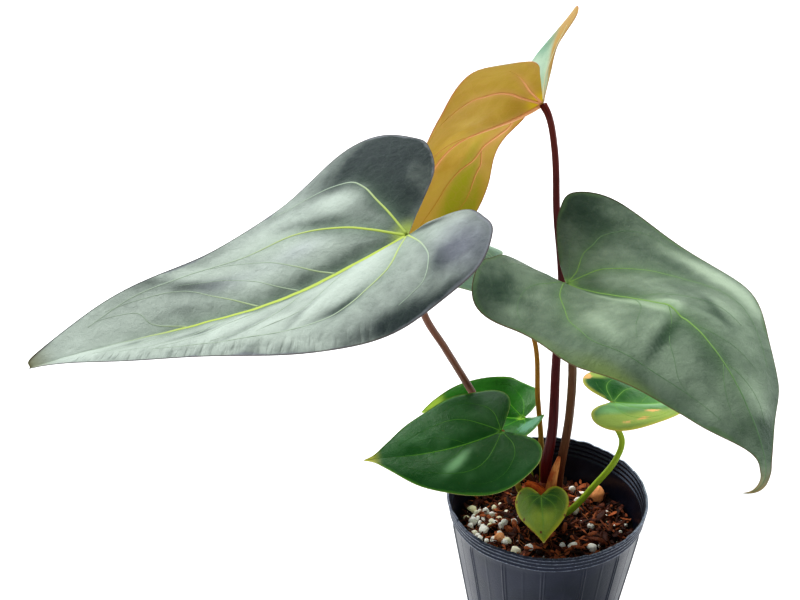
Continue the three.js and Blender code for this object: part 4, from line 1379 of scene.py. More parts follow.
class BladeMaker:
    """Makes the fine blade and veins of one leaf, and its petiole."""

    THICK = 0.56
    DOME = ((-1, 0.0), (-0.62, 0.7), (0, 1.0), (0.62, 0.7), (1, 0.0), (0, -0.3))

    def __init__(self, leaf: Leaf) -> None:
        """Works out the rays, the margin and the veins.

        Args:
            leaf: The leaf.
        """
        self.leaf = leaf
        self.bent = BentBlade(leaf)
        self.rays = self._rays()
        self.veins = Venation(leaf, self._flat(np.ones(1))[0])

    def _rays(self) -> list[tuple[Array, Array, float, float]]:
        """The rays that the mesh follows from the joint to the margin, left half first.

        Returns:
            For each its end, the notch it bends with, the weight of that bend, and the side.
        """
        leaf, rays = self.leaf, []
        for half in Half:
            outline = smooth_line(in_pairs(OUTLINES[leaf.outline[half.value]]), leaf.steps) / 100
            turn = leaf.corner * leaf.steps
            notch, margin = outline[:turn + 1], outline[turn:]
            weights = np.maximum(0, 1 - 3 * np.arange(len(margin)) / (len(margin) - 1)) ** 2
            side = [(end, notch, weight, half.sign) for end, weight in zip(margin, weights)]
            rays += side if half is Half.LEFT else side[-2::-1]
        return rays

    def _flat(self, shares: Array) -> Array:
        """Flat points of all rays.

        A ray is straight from the joint to the margin, plus its weight times what the edge of
        the notch departs from a straight line.

        Args:
            shares: Shares of a ray's length.

        Returns:
            Points by share, then by ray.
        """
        rows = []
        for end, notch, weight, sign in self.rays:
            bent = between(shares * (len(notch) - 1), np.arange(len(notch)), notch)
            point = end * shares[:, None] + weight * (bent - notch[-1] * shares[:, None])
            rows.append(point * [1, sign])
        return np.stack(rows, 1) * self.leaf.length

    def blade(self) -> Piece:
        """The blade: two faces and a rim, half the thickness along the normal to each side.

        Each point has values for closeness to a vein and to the joint, distance from the rim,
        place along the midrib, and the leaf's patches, with painted sheen and shade in its tone.

        Returns:
            The piece.
        """
        leaf, veins = self.leaf, self.veins
        rays, rings = len(self.rays), leaf.rings
        flat = np.vstack([[[0.0, 0.0]], self._flat(np.arange(1, rings + 1) / rings).reshape(-1, 2)])
        size, normal = len(flat), self.bent.normal(flat)
        relief, rim = veins.relief(flat), veins.rim_distance(flat)
        middle = self.bent.place(flat) + normal * relief[:, None]
        half = normal * (self.THICK / 2 * (0.45 + 0.55 * smoothstep(0, 2.5, rim)))[:, None]
        shares, far = flat / leaf.length, np.linalg.norm(flat, axis=1)
        values = dict(
            vein=veins.closeness(flat, 0.018), glow=veins.closeness(flat, 0.055),
            hub=bell(far, 0, leaf.hub * leaf.length), rim=np.clip(rim / (0.12 * leaf.length), 0, 1),
            tip=shares[:, 0], pleat=veins.pleats(flat, rim),
            # The tone adds painted light on the relief: paler on the puffs, darker in the hollows.
            tone=leaf.tone + total_weight(leaf.tones, shares) + leaf.painted_puff_light * relief,
            tint=total_weight(leaf.tints, shares), mark=total_weight(leaf.marks, shares),
        )
        grid = grid_faces(rings, rays, False) + 1
        tip = np.stack([np.zeros(rays - 1, int), np.arange(2, rays + 1), np.arange(1, rays)], -1)
        edge = np.append(1 + grid_edge(rings, rays)[:2 - rays], 0)
        sheet = Sheet()
        sheet.add(np.vstack([middle + half, middle - half]), [grid[:, ::-1], tip],
                  np.tile(flat, (2, 1)), **{name: np.tile(value, 2) for name, value in values.items()})
        sheet.join(grid + size, 1)
        sheet.join(tip[:, ::-1] + size, 1)
        sheet.join(rim_faces(edge, size), 2)
        finish, fineness = leaf.finish, max(1.0, 100 / leaf.length)
        return sheet.build(f"leaf_{leaf.name}", [finish.upper_side(leaf.name, fineness),
                                                 finish.under_side(leaf.name, fineness),
                                                 finish.edge(leaf.name)])

    def ribs(self) -> Piece:
        """The veins: low domes on the upper side and higher ribs underneath.

        Returns:
            The piece.
        """
        sheet = Sheet()
        for line in self.veins.lines:
            for face in Face:
                self._rib(sheet, line, face)
        return sheet.build(f"veins_{self.leaf.name}",
                           [self.leaf.finish.ribs(self.leaf.name, face) for face in Face])

    def _rib(self, sheet: Sheet, line: VeinLine, face: Face) -> None:
        """Adds one rib: a dome across, carried along the vein, with its root inside the blade.

        Args:
            sheet: Where it goes.
            line: The vein.
            face: Which face it is on.
        """
        flat, width, strength = (row[1:] for row in (line.flat, line.width, line.strength))
        tangent = unit(np.gradient(flat, axis=0))
        across = np.stack([-tangent[:, 1], tangent[:, 0]], -1)
        if face is Face.UPPER:
            sign, slot, reach, height = 1, 0, 0.5 * width, 0.1 + 0.09 * width
        else:
            sign, slot, reach, height = -1, 1, 0.62 * width, self.leaf.rib_height * width
        rows = []
        for side, lift in self.DOME:
            spot = flat + across * (side * reach)[:, None]
            rise = self.veins.relief(spot) + sign * (self.THICK / 2 - 0.03 + lift * height)
            rows.append(self.bent.place(spot) + self.bent.normal(spot) * rise[:, None])
        sides = len(rows)
        sheet.add(np.stack(rows, 1).reshape(-1, 3), capped_faces(len(flat), sides, -sign),
                  np.repeat(flat, sides, axis=0), slot, strong=np.repeat(strength, sides))

    def petiole(self) -> Piece:
        """The petiole: a tube that tapers up, swells at both ends and has a shallow groove.

        Its radius falls from the base as the square of what is left of its length.

        Returns:
            The piece.
        """
        _, _, up = self.bent.frame_at(np.zeros(1))
        joint, stalk = np.asarray(self.leaf.joint, float), self.leaf.stalk
        ends = [joint - up[0] * stalk.turn, joint - up[0] * stalk.gap]
        path = centripetal([*stalk.points, *ends], 1.4)
        along, run, (base, top) = np.linspace(0, 1, len(path)), run_along(path), stalk.radius
        radius = top + (base - top) * (1 - along) ** 2
        radius = radius * (1 + 0.16 * bell(run, run[-1], 5) + 0.1 * bell(run, 0, 7))
        angle = turns(28)
        groove = 1 - 0.09 * bell(angle, math.pi / 2, 0.35)
        grain = 1 + 0.018 * waves(pairs(run * 0.25, angle * 4), 4, 5).reshape(len(path), -1)
        sheet, name = Sheet(), f"stalk_{self.leaf.name}"
        tube(sheet, path, radius[:, None] * groove * grain, along=along)
        return sheet.build(name, [stalk.finish.material(name)])


LEAVES: tuple[Leaf, ...] = (
    Leaf(
        name="left", joint=(-74, -38, 271), length=179, heading=197,
        outline=("long_left", "long_right"),
        pitch=(-27, -24, -19, -9, -9, -9), turn=(2, 1, 2, -2, -3, -4), roll=(5, 4, 4, 4, 2, 4),
        fold=((32, 31, 21, 15, 17, 29), (18, 27, 22, 19, 32, 27)),
        curl=((-49, -49, -45, -33, -23, -19), (-20, -20, -24, -7, -1, -3)),
        stalk=Stalk(
            ((-5.6, 5.2, 91), (-9, 5, 101), (-22, 1.5, 119), (-32.5, 4, 139.5), (-40, 10.5, 151.5),
             (-55, -7, 190), (-66, -19, 218)), (2.2, 1.8), BROWN),
        finish=VELVET, veins=LONG_VEINS, slot=Slot.VELVET_LEAF,
        rings=90, steps=11, midrib=2.6, midrib_fade=(0.5, 0.88), vein_fade=(0.12, 0.65),
        rib_height=0.55, quilt=1.3, tone=0.56, hub=0.045,
        # Painted sheen on the puffs and towards the tip; painted shade on the lobes turned from the light
        # and in the valleys by the side veins.
        tones=patches((-9, -25, 16, 15, 0, -0.75), (2, -31, 12, 6, 0, -0.45), (-3, -12, 6, 10, 0, -0.6),
            (-8, 30, 14, 12, 0, -0.4), (55, -12, 9, 2.2, -3, -0.5), (20, -20, 9, 2, -30, -0.4),
            (-5, 29, 4.5, 3, 0, -0.6), (15, 35, 10, 3.5, -15, -0.65), (24, 22, 6, 1.4, 20, -0.25),
            (-5, 9, 6, 2.5, 130, -0.6), (66, -16, 8, 2.5, -18, -0.25), (62, -5, 8, 2, 0, -0.25),
            (22, -3, 10, 2, 0, -0.25), (2, 40, 14, 2.5, 0, -0.35), (10, -22, 7, 3.5, -20, 0.45),
            (35, -20, 12, 2.2, 0, 0.25), (57, -17, 10, 2.5, -15, 0.4), (20, 13, 20, 6, 20, 0.15),
            (-5, 20, 5, 2.5, 110, 0.2), (3, 27, 5, 3, 20, 0.15), (80, -6, 20, 8, -10, 0.4),
            (40, -10, 6, 2.5, 0, 0.2), (25, 21, 7, 1.2, 0, -0.35), (35.5, 17.5, 5.5, 1.1, 35, -0.3),
            (48, 14, 7, 1, 22, -0.3), (59, 8, 7, 0.9, 5, -0.28), (74.5, 3, 7, 0.9, 10, -0.25),
            (30, 16.5, 9, 1.4, 21, 0.25), (42, 16.5, 6, 1.2, 21, 0.25), (51, 10, 6, 1.2, 37, 0.25)),
        tints=patches((-10, 28, 12, 15, 0, 0.45), (25, -12, 12, 5, 0, 0.35), (-20, -24, 3, 12, 0, 0.3),
            (50, -11, 14, 4, 0, 0.3)),
        swells=patches((25, 21, 8, 1.6, 0, -0.8), (35.5, 17.5, 6, 1.4, 35, -0.7),
            (48, 14, 7, 1.3, 22, -0.6), (59, 8, 7, 1.2, 5, -0.5), (30, 16.5, 9, 1.8, 21, 0.8),
            (42, 16.5, 6, 1.5, 21, 0.6), (51, 10, 6, 1.4, 37, 0.5), (20, -10, 10, 3, -10, 0.8)),
    ),
    Leaf(
        name="right", joint=(0.5, -25, 238), length=153, heading=-40,
        outline=("broad_left", "broad_right"), stations=(-0.3, 0, 0.25, 0.5, 0.75, 0.94, 1.12),
        pitch=(-14, 3, 18, -7, -30, -40, 15), turn=(5, 0, -8, -19, -27, -36, -130),
        roll=(-19, -19, -15, -8, -5, -6, 0),
        fold=((38, 22, 9, 2, -5, -11, 0), (48, 17, -10, -1, -16, -23, 0)),
        curl=((28, 12, -1, -14, -27, -40, 0), (-58, -48, -11, -50, -53, -52, 0)),
        stalk=Stalk(
            ((5.6, 5.2, 90), (6.2, 6, 103), (9, 2, 141), (8, -8, 179), (4, -20, 212)),
            (2.5, 2.1), OLIVE_BROWN),
        finish=SATIN, veins=BROAD_VEINS, slot=Slot.VELVET_LEAF,
        rings=88, steps=9, midrib=1.3, midrib_fade=(0.3, 0.9), vein_fade=(0.1, 0.8),
        rib_height=0.55, quilt=0.9, painted_puff_light=0.2, tone=0.33,
        # Painted highlights at the kink and along the midrib before it, sheen along the far margin,
        # painted shade in the crease and on the lobes.
        tones=patches((-10, 29, 13, 8, 0, -0.3), (13, 29, 9, 4, 0, -0.1), (44, 13, 8, 1.6, -15, -0.25),
            (52, -13, 11, 3.5, -75, -0.22), (88, 3, 6, 5, 0, -0.25), (-5, -31, 6, 7, 0, -0.3),
            (62, -3, 8, 5, 0, -0.18), (21, 34, 10, 2.5, 0, 0.25), (33, 31, 13, 3, -12, 0.5),
            (47, 27, 12, 3, -20, 0.4), (38.5, 1.5, 5, 2.2, 0, 0.9), (34, -2, 9, 2.5, 0, 0.9),
            (18, -4.5, 10, 1.6, 0, 0.4), (48, 16, 7, 3, 0, 0.2), (76, 4, 6, 3.5, 0, 0.3),
            (82, 6, 5, 3, 0, 0.25), (34, -20, 10, 3, -10, 0.2), (78, -10, 12, 3, 0, 0.15)),
        tints=patches((48, -32, 16, 5, 15, 0.55), (62, -25, 12, 4, 25, 0.35), (22, -37, 14, 3, 0, 0.3)),
        swells=patches((40, 2, 5, 4, 0, 1.6), (50, -8, 12, 1.6, -62, -1.3), (46, -10, 12, 2, -62, 0.7),
            (49, 10, 9, 2, 20, -0.8)),
    ),
    Leaf(
        name="new", joint=(-8, 45, 298), length=139, heading=171,
        outline=("new_left", "new_right"), corner=3,
        pitch=(-41, -37, -27, -63, -69, -83), turn=(4, 0, -6, 9, 10, 11),
        roll=(28, 34, 32, 34, 36, 35),
        fold=((-31, 38, -1, -6, 0, 5), (59, 80, 36, -36, -73, -19)),
        curl=((2, -41, 4, -21, -18, -10), (-42, -70, -57, -13, -15, -9)), lobes=(136, 40),
        stalk=Stalk(
            ((0.3, 9, 93), (-0.6, 9, 106), (2, 12, 128), (3, 22, 164), (4.5, 31, 206),
             (1, 38, 240), (-1, 43, 272)), (3.1, 1.7), MAROON),
        finish=BRONZE, veins=NEW_VEINS, slot=Slot.NEW_LEAF,
        rings=84, steps=10, midrib=1.9, hub=0.06, vein_fade=(0.4, 1.0), quilt=0.5,
        tone=0.6,
        tones=patches((-8, -30, 10, 10, 0, -0.9)),
        tints=patches((-26, -24, 13, 16, 0, 1.3), (-12, -15, 16, 2.2, -122, 1.1)),
        marks=patches((50, -14, 16, 5, 10, 0.9), (58, -17, 12, 5, 0, 0.8)),
        swells=patches((34, -16, 16, 3, 35, 0.8), (30, 10, 14, 3, 10, 0.7)),
    ),
    Leaf(
        name="pale", joint=(-29, 35, 216), length=59, heading=222,
        outline=("slender", "slender"),
        pitch=(23, 18, 13, 12, 6, -3), turn=(0, 0, 3, 2, 4, 4), roll=(-15, -19, -22, -25, -25, -25),
        fold=((8, 3, -2, 0, 2, 4), (-5, 2, 8, 8, 8, 8)),
        curl=((-20, -26, -31, -29, -27, -25), (-26, -22, -19, -19, -20, -20)),
        stalk=Stalk(
            ((-1.5, 14, 88), (-2, 18, 103), (-2.7, 22, 115), (-4.8, 28, 136), (-8.2, 30, 172),
             (-21, 33, 197)), (1.6, 1.2), OCHRE),
        finish=MINT, veins=LONG_VEINS, slot=Slot.PALE_LEAF,
    ),
    Leaf(
        name="front", joint=(-27, -22, 151), length=71, heading=200, outline=("heart", "heart"),
        pitch=(-14, -13, -8, -4, 0, -3), turn=(-1, 0, -2, -7, -11, -14),
        roll=(-12, -12, -16, -16, -18, -17),
        fold=((15, 10, 5, 6, 7, 8), (7, 9, 11, 11, 10, 10)),
        curl=((-4, -14, -24, -23, -23, -22), (-24, -21, -18, -18, -19, -19)),
        stalk=Stalk(
            ((-6, 3, 82), (-12.7, 0.5, 93), (-17.3, -5.5, 108), (-24, -14, 131)), (1.8, 1.4), RUST),
        finish=GLOSSY, veins=HEART_VEINS, slot=Slot.GLOSSY_LEAF, rings=56, steps=7, midrib=0.8,
        tone=0.09,
        # A painted highlight streak across the left half, and a few faintly paler patches.
        tones=patches((37.5, 13, 13, 3.5, 36, 0.85), (30, 26, 9, 4, 0, 0.12), (60, -12, 10, 3, 0, 0.15),
            (15, -20, 10, 4, -20, 0.1)),
    ),
    Leaf(
        name="inner", joint=(-12, 28, 124), length=55, heading=178, outline=("young", "young"),
        pitch=(-43, -10, 10, 8, -3, -18), turn=(11, 0, -6, -4, 1, 5),
        roll=(-1, -7, -11, -17, -19, -21),
        fold=((35, 25, 15, 13, 11, 8), (14, 19, 24, 22, 21, 20)),
        curl=((-6, -11, -16, -17, -19, -20), (-26, -12, 2, -2, -6, -10)),
        stalk=Stalk(((-6, 11, 84), (-8.5, 17.5, 99), (-11, 25, 112)), (1.7, 1.3), LIME),
        finish=BRIGHT, veins=HEART_VEINS, slot=Slot.GLOSSY_LEAF, tone=0.3,
        marks=patches((-8, 27, 13, 12, 0, 0.9)),
        tints=patches((92, -6, 16, 7, 0, 0.8), (72, -25, 20, 5, 20, 0.5), (2, 2, 5, 5, 0, 0.9)),
    ),
    Leaf(
        name="yellow", joint=(34, 22, 138), length=60, heading=10, outline=("young", "young"),
        pitch=(-6, -11, -16, -14, -17, -25), turn=(-9, 0, 11, 24, 32, 34),
        roll=(-6, -6, -7, -9, -9, -9),
        fold=((14, 17, 19, 19, 20, 20), (12, 16, 19, 20, 21, 22)),
        curl=((-6, -11, -16, -17, -19, -20), (-41, -33, -24, -22, -20, -17)),
        stalk=Stalk(
            ((6, 4, 77), (13, 3, 82), (25, 7, 95), (36, 12, 108), (39.5, 17, 117)), (1.8, 1.6), LIME),
        finish=RIPE, veins=HEART_VEINS, slot=Slot.YELLOWING_LEAF, tone=0.3,
        # A painted sheen on the right lobe round the joint; the paler right half and darker left half are
        # the leaf's own colour.
        tones=patches((-8, -22, 9, 6, 0, 0.6), (2, 20, 20, 14, 0, -0.5), (30, -6, 25, 10, 0, 0.5),
            (2, -8, 10, 5, 0, 0.5)),
        tints=patches((18, -33, 30, 11, 5, 0.95), (-12, -32, 12, 8, 0, 0.8), (-10, 36, 16, 5, 0, 0.8)),
        marks=patches((24, -24, 7, 3, -10, 0.75), (13, -34, 5, 2.5, 10, 0.7), (0, -36, 5, 2.5, 0, 0.5),
            (-18, 34, 6, 4, 30, 0.9)),
    ),
    Leaf(
        name="little", joint=(-5, -16, 106), length=32.5, heading=-92, outline=("young", "young"),
        pitch=(-6, -6, -5, -7, -11, -19), turn=(-2, 0, 2, 1, 0, 0), roll=(3,) * 6,
        fold=((4,) * 6, (3,) * 6),
        curl=((-22,) * 6, (-34, -37, -40, -34, -29, -23)),
        stalk=Stalk(((1, 0, 82), (-2, -8, 89)), (1.4, 1.1), LIME),
        finish=LITTLE, veins=HEART_VEINS, slot=Slot.YELLOWING_LEAF, rings=40, midrib=0.5, quilt=0.2,
        tone=0.45,
        tones=patches((2, 5, 22, 22, 0, -0.8), (55, 0, 25, 20, 0, 0.4)),
        marks=patches((46, -30, 3, 2.2, 0, 1.1), (42, 35, 4, 2, 60, 1.1), (0, -41, 3, 2, 0, 1),
            (-14, -34, 2.5, 2, 0, 0.9), (20, 43, 3, 1.8, 0, 0.9), (80, -4, 2.2, 1.8, 0, 1.2)),
    ),
)


@dataclass(frozen=True)
class NurseryPot:
    """The thin nursery pot, with the sizes of its solid; its foot stands at the origin."""

    height: float = 95
    rim_radius: float = 52.5
    base_radius: float = 36
    wall: float = 1.0
    floor: float = 1.4
    ridges: int = 4
    ridge_pitch: float = 2.6
    ridge_depth: float = 0.6
    pleats: int = 15
    pleat_depth: float = 0.5
    drains: int = 6
    drain_radius: float = 4
    drain_ring: float = 23
    finish: PlasticFinish = PlasticFinish()

    @property
    def band(self) -> float:
        """Height where the ridges under the rim begin."""
        return self.height - self.ridges * self.ridge_pitch

    def radius(self, height: Array | float) -> Array | float:
        """Outer radius at a height, without ridges."""
        return self.base_radius + (self.rim_radius - self.base_radius) * height / self.height

    def profile(self) -> tuple[Array, Array]:
        """The pot's two walls as rows of radius and height.

        A ridge is one hump of a squared sine per pitch, the same outside and inside.

        Returns:
            The outer wall from the foot to the lip, and the inner one from there to the floor.
        """
        heights = np.concatenate([np.linspace(2.0, self.band, 26)[:-1],
                                  np.linspace(self.band, self.height - 0.5, 41)])
        hump = np.where(heights >= self.band,
                        np.sin(math.pi * (heights - self.band) / self.ridge_pitch) ** 2, 0)
        outer = np.stack([self.radius(heights) + self.ridge_depth * hump, heights], -1)
        foot = [(18.0, 0.0), (30.0, 0.0), (self.radius(2) - 1.2, 0.0), (self.radius(2) - 0.35, 0.5)]
        lip = [(self.rim_radius - inset, self.height - drop)
               for inset, drop in ((0.15, 0.12), (0.5, 0.0), (0.85, 0.12))]
        inner = outer[::-1] - [self.wall, 0]
        floor = [(self.radius(self.floor) - self.wall - 0.6, self.floor), (30.0, self.floor)]
        return (np.vstack([foot, outer, lip]),
                np.vstack([inner[inner[:, 1] > self.floor + 1], floor]))

    def build(self) -> Piece:
        """The pot, turned from its profile, with upright double pleats and a ragged rim.

        Round the pot the radius gains two thin bells at each pleat and a faint one between, and
        slow waves towards the rim; the rim's height gains fast waves.

        Returns:
            The piece.
        """
        outer, inner = self.profile()
        profile = np.vstack([outer, inner])
        sector = 2 * math.pi / self.pleats
        steps = np.concatenate([np.linspace(-2.2, 2.2, 12), np.linspace(4, 10.5, 4),
                                np.linspace(11.2, 12.8, 4), np.linspace(13.5, 20, 4)])
        angles = (np.radians(steps) + np.arange(self.pleats)[:, None] * sector).ravel()
        offset = np.degrees((angles + sector / 2) % sector - sector / 2)
        line = bell(np.abs(offset), 0.85, 0.42) + 0.35 * bell(np.abs(offset), 12, 0.4)
        wall = np.zeros(len(profile))
        wall[:len(outer)] = (smoothstep(2, 5, outer[:, 1])
                             * (1 - smoothstep(self.band - 2, self.band, outer[:, 1])))
        swell = self.pleat_depth * line + 0.12 * np.cos(np.radians(offset) * 7.5)
        ring = np.stack([np.cos(angles), np.sin(angles)], -1)
        height = profile[:, 1:2] + 0 * angles
        radius = (profile[:, 0:1] + wall[:, None] * swell
                  + 0.6 * waves(ring * self.rim_radius, 70, 11, 2) * smoothstep(60, self.height, height))
        height = height + smoothstep(self.height - 3, self.height, height) * (
            0.6 * waves(ring * self.rim_radius, 9, 12, 3) - 0.4)
        points = np.stack([radius * ring[:, 0], radius * ring[:, 1], height], -1).reshape(-1, 3)
        flat = pairs(run_along(profile), angles * 50)
        # Ridge crests: pale wear and a painted highlight. Lip: a painted backlit glow, strongest towards
        # the back right.
        crest = 0.5 * bell(profile[:, 0] - self.radius(profile[:, 1]), self.ridge_depth, 0.12)
        edge = smoothstep(self.height - 1.2, self.height - 0.1, profile[:, 1])
        far = 0.6 + 0.4 * np.cos(angles - math.radians(50))
        wear = np.maximum(crest[:, None], edge[:, None] * far).ravel()
        sheet = Sheet()
        sheet.add(np.vstack([points, [[0, 0, 0], [0, 0, self.floor]]]),
                  closed_faces(len(profile), len(angles)), np.vstack([flat, np.zeros((2, 2))]),
                  wear=np.append(wear, [0, 0]))
        return self.drilled(sheet.build("nursery_pot", [self.finish.material("nursery_plastic")]))

    def drilled(self, pot: Piece) -> Piece:
        """Cuts the drain holes through the pot's floor.

        Args:
            pot: The pot.

        Returns:
            The same pot, with the holes.
        """
        cutters = Sheet()
        for angle in turns(self.drains):
            x, y = self.drain_ring * math.cos(angle), self.drain_ring * math.sin(angle)
            path = np.array([[x, y, -3.0], [x, y, 1.0], [x, y, 4.5]])
            tube(cutters, path, np.full((3, 28), self.drain_radius))
        cutter = cutters.build("drain_cutter", [])
        modifier = pot.modifiers.new("drains", "BOOLEAN")
        modifier.operation, modifier.solver, modifier.object = "DIFFERENCE", "EXACT", cutter
        graph = bpy.context.evaluated_depsgraph_get()
        mesh = bpy.data.meshes.new_from_object(pot.evaluated_get(graph))
        pot.modifiers.clear()
        pot.data = mesh
        bpy.data.objects.remove(cutter)
        return pot


def rotations(rng: np.random.Generator, count: int, tilt: float) -> Array:
    """Random turns about the upright with a small random tilt.

    Args:
        rng: Source of the draws.
        count: How many.
        tilt: Spread of the tilt about each level axis, in radians.

    Returns:
        One 3 by 3 matrix for each.
    """
    spin = rng.uniform(0, 2 * math.pi, count)
    lean, roll = rng.normal(0, tilt, count), rng.normal(0, tilt, count)
    matrices = []
    for angle, (a, b) in ((spin, (0, 1)), (lean, (2, 0)), (roll, (1, 2))):
        matrix = np.tile(np.eye(3), (count, 1, 1))
        matrix[:, a, a] = matrix[:, b, b] = np.cos(angle)
        matrix[:, a, b], matrix[:, b, a] = -np.sin(angle), np.sin(angle)
        matrices.append(matrix)
    return matrices[0] @ matrices[1] @ matrices[2]


@dataclass(frozen=True)
class PottingMix:
    """The coir mix in the pot, with its chips, fibres, pumice beads and lumps of clay."""

    pot: NurseryPot = NurseryPot()
    level: float = 71.5
    wave: float = 1.4
    crown: tuple[float, float] = (0.0, 7.0)
    chip_count: int = 1350
    fibre_count: int = 260
    drift: tuple[float, float] = (-31.0, 4.0)
    drift_count: int = 30
    beads: tuple[tuple[float, float], ...] = (
        (-21, -12), (-10, -19), (-17, -20), (8, -13), (13, -16), (23, -17), (17, 34), (24, 2),
        (-38, -4), (12, 27), (22, 31), (-6, -31), (17, 14), (19, 21))
    lumps: tuple[tuple[float, float, float], ...] = ((29, 27, 4.4), (-25, -9, 3.8))
    dust: CrumbFinish = CrumbFinish(
        ((0.006, 0.003, 0.002), (0.016, 0.006, 0.004), (0.03, 0.011, 0.006)), 0.95, 0.0008, 1.2)
    husk: CrumbFinish = CrumbFinish(
        ((0.008, 0.003, 0.002), (0.075, 0.015, 0.006), (0.46, 0.13, 0.045)), 0.5, 0.0004, 0.9)
    strand: CrumbFinish = CrumbFinish(
        ((0.08, 0.025, 0.01), (0.26, 0.08, 0.03), (0.5, 0.2, 0.07)), 0.6, 0.0001, 2.0)
    pumice: CrumbFinish = CrumbFinish(
        ((0.95, 0.95, 0.9), (0.97, 0.96, 0.92), (0.95, 0.88, 0.55)), 0.8, 0.0003, 0.9, 0.92)
    clay: CrumbFinish = CrumbFinish(
        ((0.85, 0.32, 0.13), (0.95, 0.42, 0.18), (0.95, 0.55, 0.3)), 0.8, 0.0004, 0.7, 0.8)

    def height_at(self, x: Array | float, y: Array | float) -> Array:
        """Height of the top: products and sums of slow sines, calm round the crown.

        Args:
            x: First coordinate of each spot.
            y: Second coordinate.

        Returns:
            The height at each.
        """
        wave = np.sin(0.21 * x + 1) * np.cos(0.17 * y) + 0.6 * np.sin(0.37 * y - 0.29 * x)
        far = np.hypot(x - self.crown[0], y - self.crown[1])
        return self.level + self.wave * wave * smoothstep(12, 22, far)

    def scatter(self, rng: np.random.Generator, count: int, reach: float) -> Array:
        """Random spots on the mix, even over a disc round the pot's axis, clear of the crown.

        Args:
            rng: Source of the draws.
            count: How many.
            reach: Radius of the disc.

        Returns:
            Rows of two coordinates.
        """
        spots = []
        while len(spots) < count:
            radius, angle = reach * math.sqrt(rng.uniform()), rng.uniform(0, 2 * math.pi)
            spot = (radius * math.cos(angle), radius * math.sin(angle))
            if math.dist(spot, self.crown) > 10.5:
                spots.append(spot)
        return np.array(spots)

    def bed(self) -> Piece:
        """The body of the mix: rings with a height of waves on a plain tapered block.

        Returns:
            The piece.
        """
        angle = turns(300)
        fit = self.pot.radius(self.level) - self.pot.wall - 0.3
        rings = np.concatenate([np.linspace(0.4, fit - 1, 96), [fit - 0.4, fit]])
        ground = rings[:, None, None] * np.stack([np.cos(angle), np.sin(angle)], -1)
        rough = 0.8 * waves(ground, 9, 21, 4) + 0.5 * waves(ground, 3.2, 22, 2)
        inside = 1 - smoothstep(fit - 3, fit, rings)[:, None]
        z = (self.height_at(ground[..., 0], ground[..., 1]) + rough * inside - 0.8
             + 0.5 * waves(ground, 30, 23, 2))
        rows = [np.concatenate([ground, z[..., None]], -1)]
        low = self.pot.floor + 0.4
        for height in (40.0, low):
            reach = self.pot.radius(height) - self.pot.wall - 0.4
            rows.append(np.stack([reach * np.cos(angle), reach * np.sin(angle), height + 0 * angle],
                                 -1)[None])
        points = np.concatenate(rows)
        faces = closed_faces(len(points), len(angle), True)
        points = np.vstack([points.reshape(-1, 3), [[0, 0, self.level - 1]], [[0, 0, low]]])
        sheet = Sheet()
        sheet.add(points, faces, points[:, :2], tone=np.clip(0.5 + 0.5 * waves(points, 6, 24), 0, 1))
        return sheet.build("mix_bed", [self.dust.material("coir_dust")])

    def chips(self) -> Piece:
        """Coir chips: six-sided splinters that taper to both ends and bow, most of them small.

        Returns:
            The piece.
        """
        rng = np.random.default_rng(5)
        sheet = Sheet()
        spots = self.scatter(rng, self.chip_count, 45.5)
        hexagon, along = turns(6), np.linspace(-0.5, 0.5, 5)
        for spot, turn in zip(spots, rotations(rng, len(spots), 0.28)):
            length = rng.gamma(2.2, 2.0) + 1.6
            length = min(length, 14.0, 2 * (46.3 - math.hypot(*spot)) + 2)
            wide, thick = min(0.5 * length, rng.uniform(0.7, 3.8)), rng.uniform(0.4, 1.5)
            ring = np.stack([0 * hexagon, np.cos(hexagon) * wide / 2, np.sin(hexagon) * thick / 2], -1)
            taper = 1 - 0.55 * np.abs(2 * along) ** 2
            points = ring[None] * taper[:, None, None] * rng.uniform(0.8, 1.2, (5, 6, 1))
            points[..., 0] += (along * length)[:, None] + rng.normal(0, 0.12, (5, 6))
            points[..., 2] += (rng.normal(0, 0.06) * length * (1 - 4 * along**2))[:, None]
            lift = float(self.height_at(*spot)) + rng.uniform(-1.2, 1.6)
            points = points.reshape(-1, 3) @ turn.T + [*spot, lift]
            sheet.add(points, capped_faces(5, 6), points[:, :2], tone=rng.uniform())
        return sheet.build("coir_chips", [self.husk.material("coir_husk")], smooth=False)

    def fibres(self) -> Piece:
        """Loose coir fibres: thin tubes whose heading turns at a steady rate.

        Returns:
            The piece.
        """
        rng = np.random.default_rng(8)
        sheet = Sheet()
        t = np.linspace(-0.5, 0.5, 9)
        for spot in self.scatter(rng, self.fibre_count, 41):
            length, heading, bend = rng.uniform(6, 20), rng.uniform(0, 2 * math.pi), rng.normal(0, 0.9)
            angle = heading + bend * t
            path = np.stack([np.cumsum(np.cos(angle)), np.cumsum(np.sin(angle)), 0 * t], -1)
            path = (path - path.mean(0)) * length / 9 + [*spot, 0]
            reach = np.linalg.norm(path[:, :2], axis=1).max()
            near = np.linalg.norm(path[:, :2] - self.crown, axis=1).min()
            lift, thick, tone = rng.uniform(0, 0.8), rng.uniform(0.09, 0.28), rng.uniform()
            if reach < 46 and near > 9.6:
                path[:, 2] = self.height_at(path[:, 0], path[:, 1]) + 0.7 + lift * (1 - 3 * t**2)
                radius = thick * (1 - 0.6 * np.abs(2 * t))
                tube(sheet, path, np.repeat(radius[:, None], 5, axis=1), tone=np.full(len(t), tone))
        return sheet.build("coir_fibres", [self.strand.material("coir_strand")])

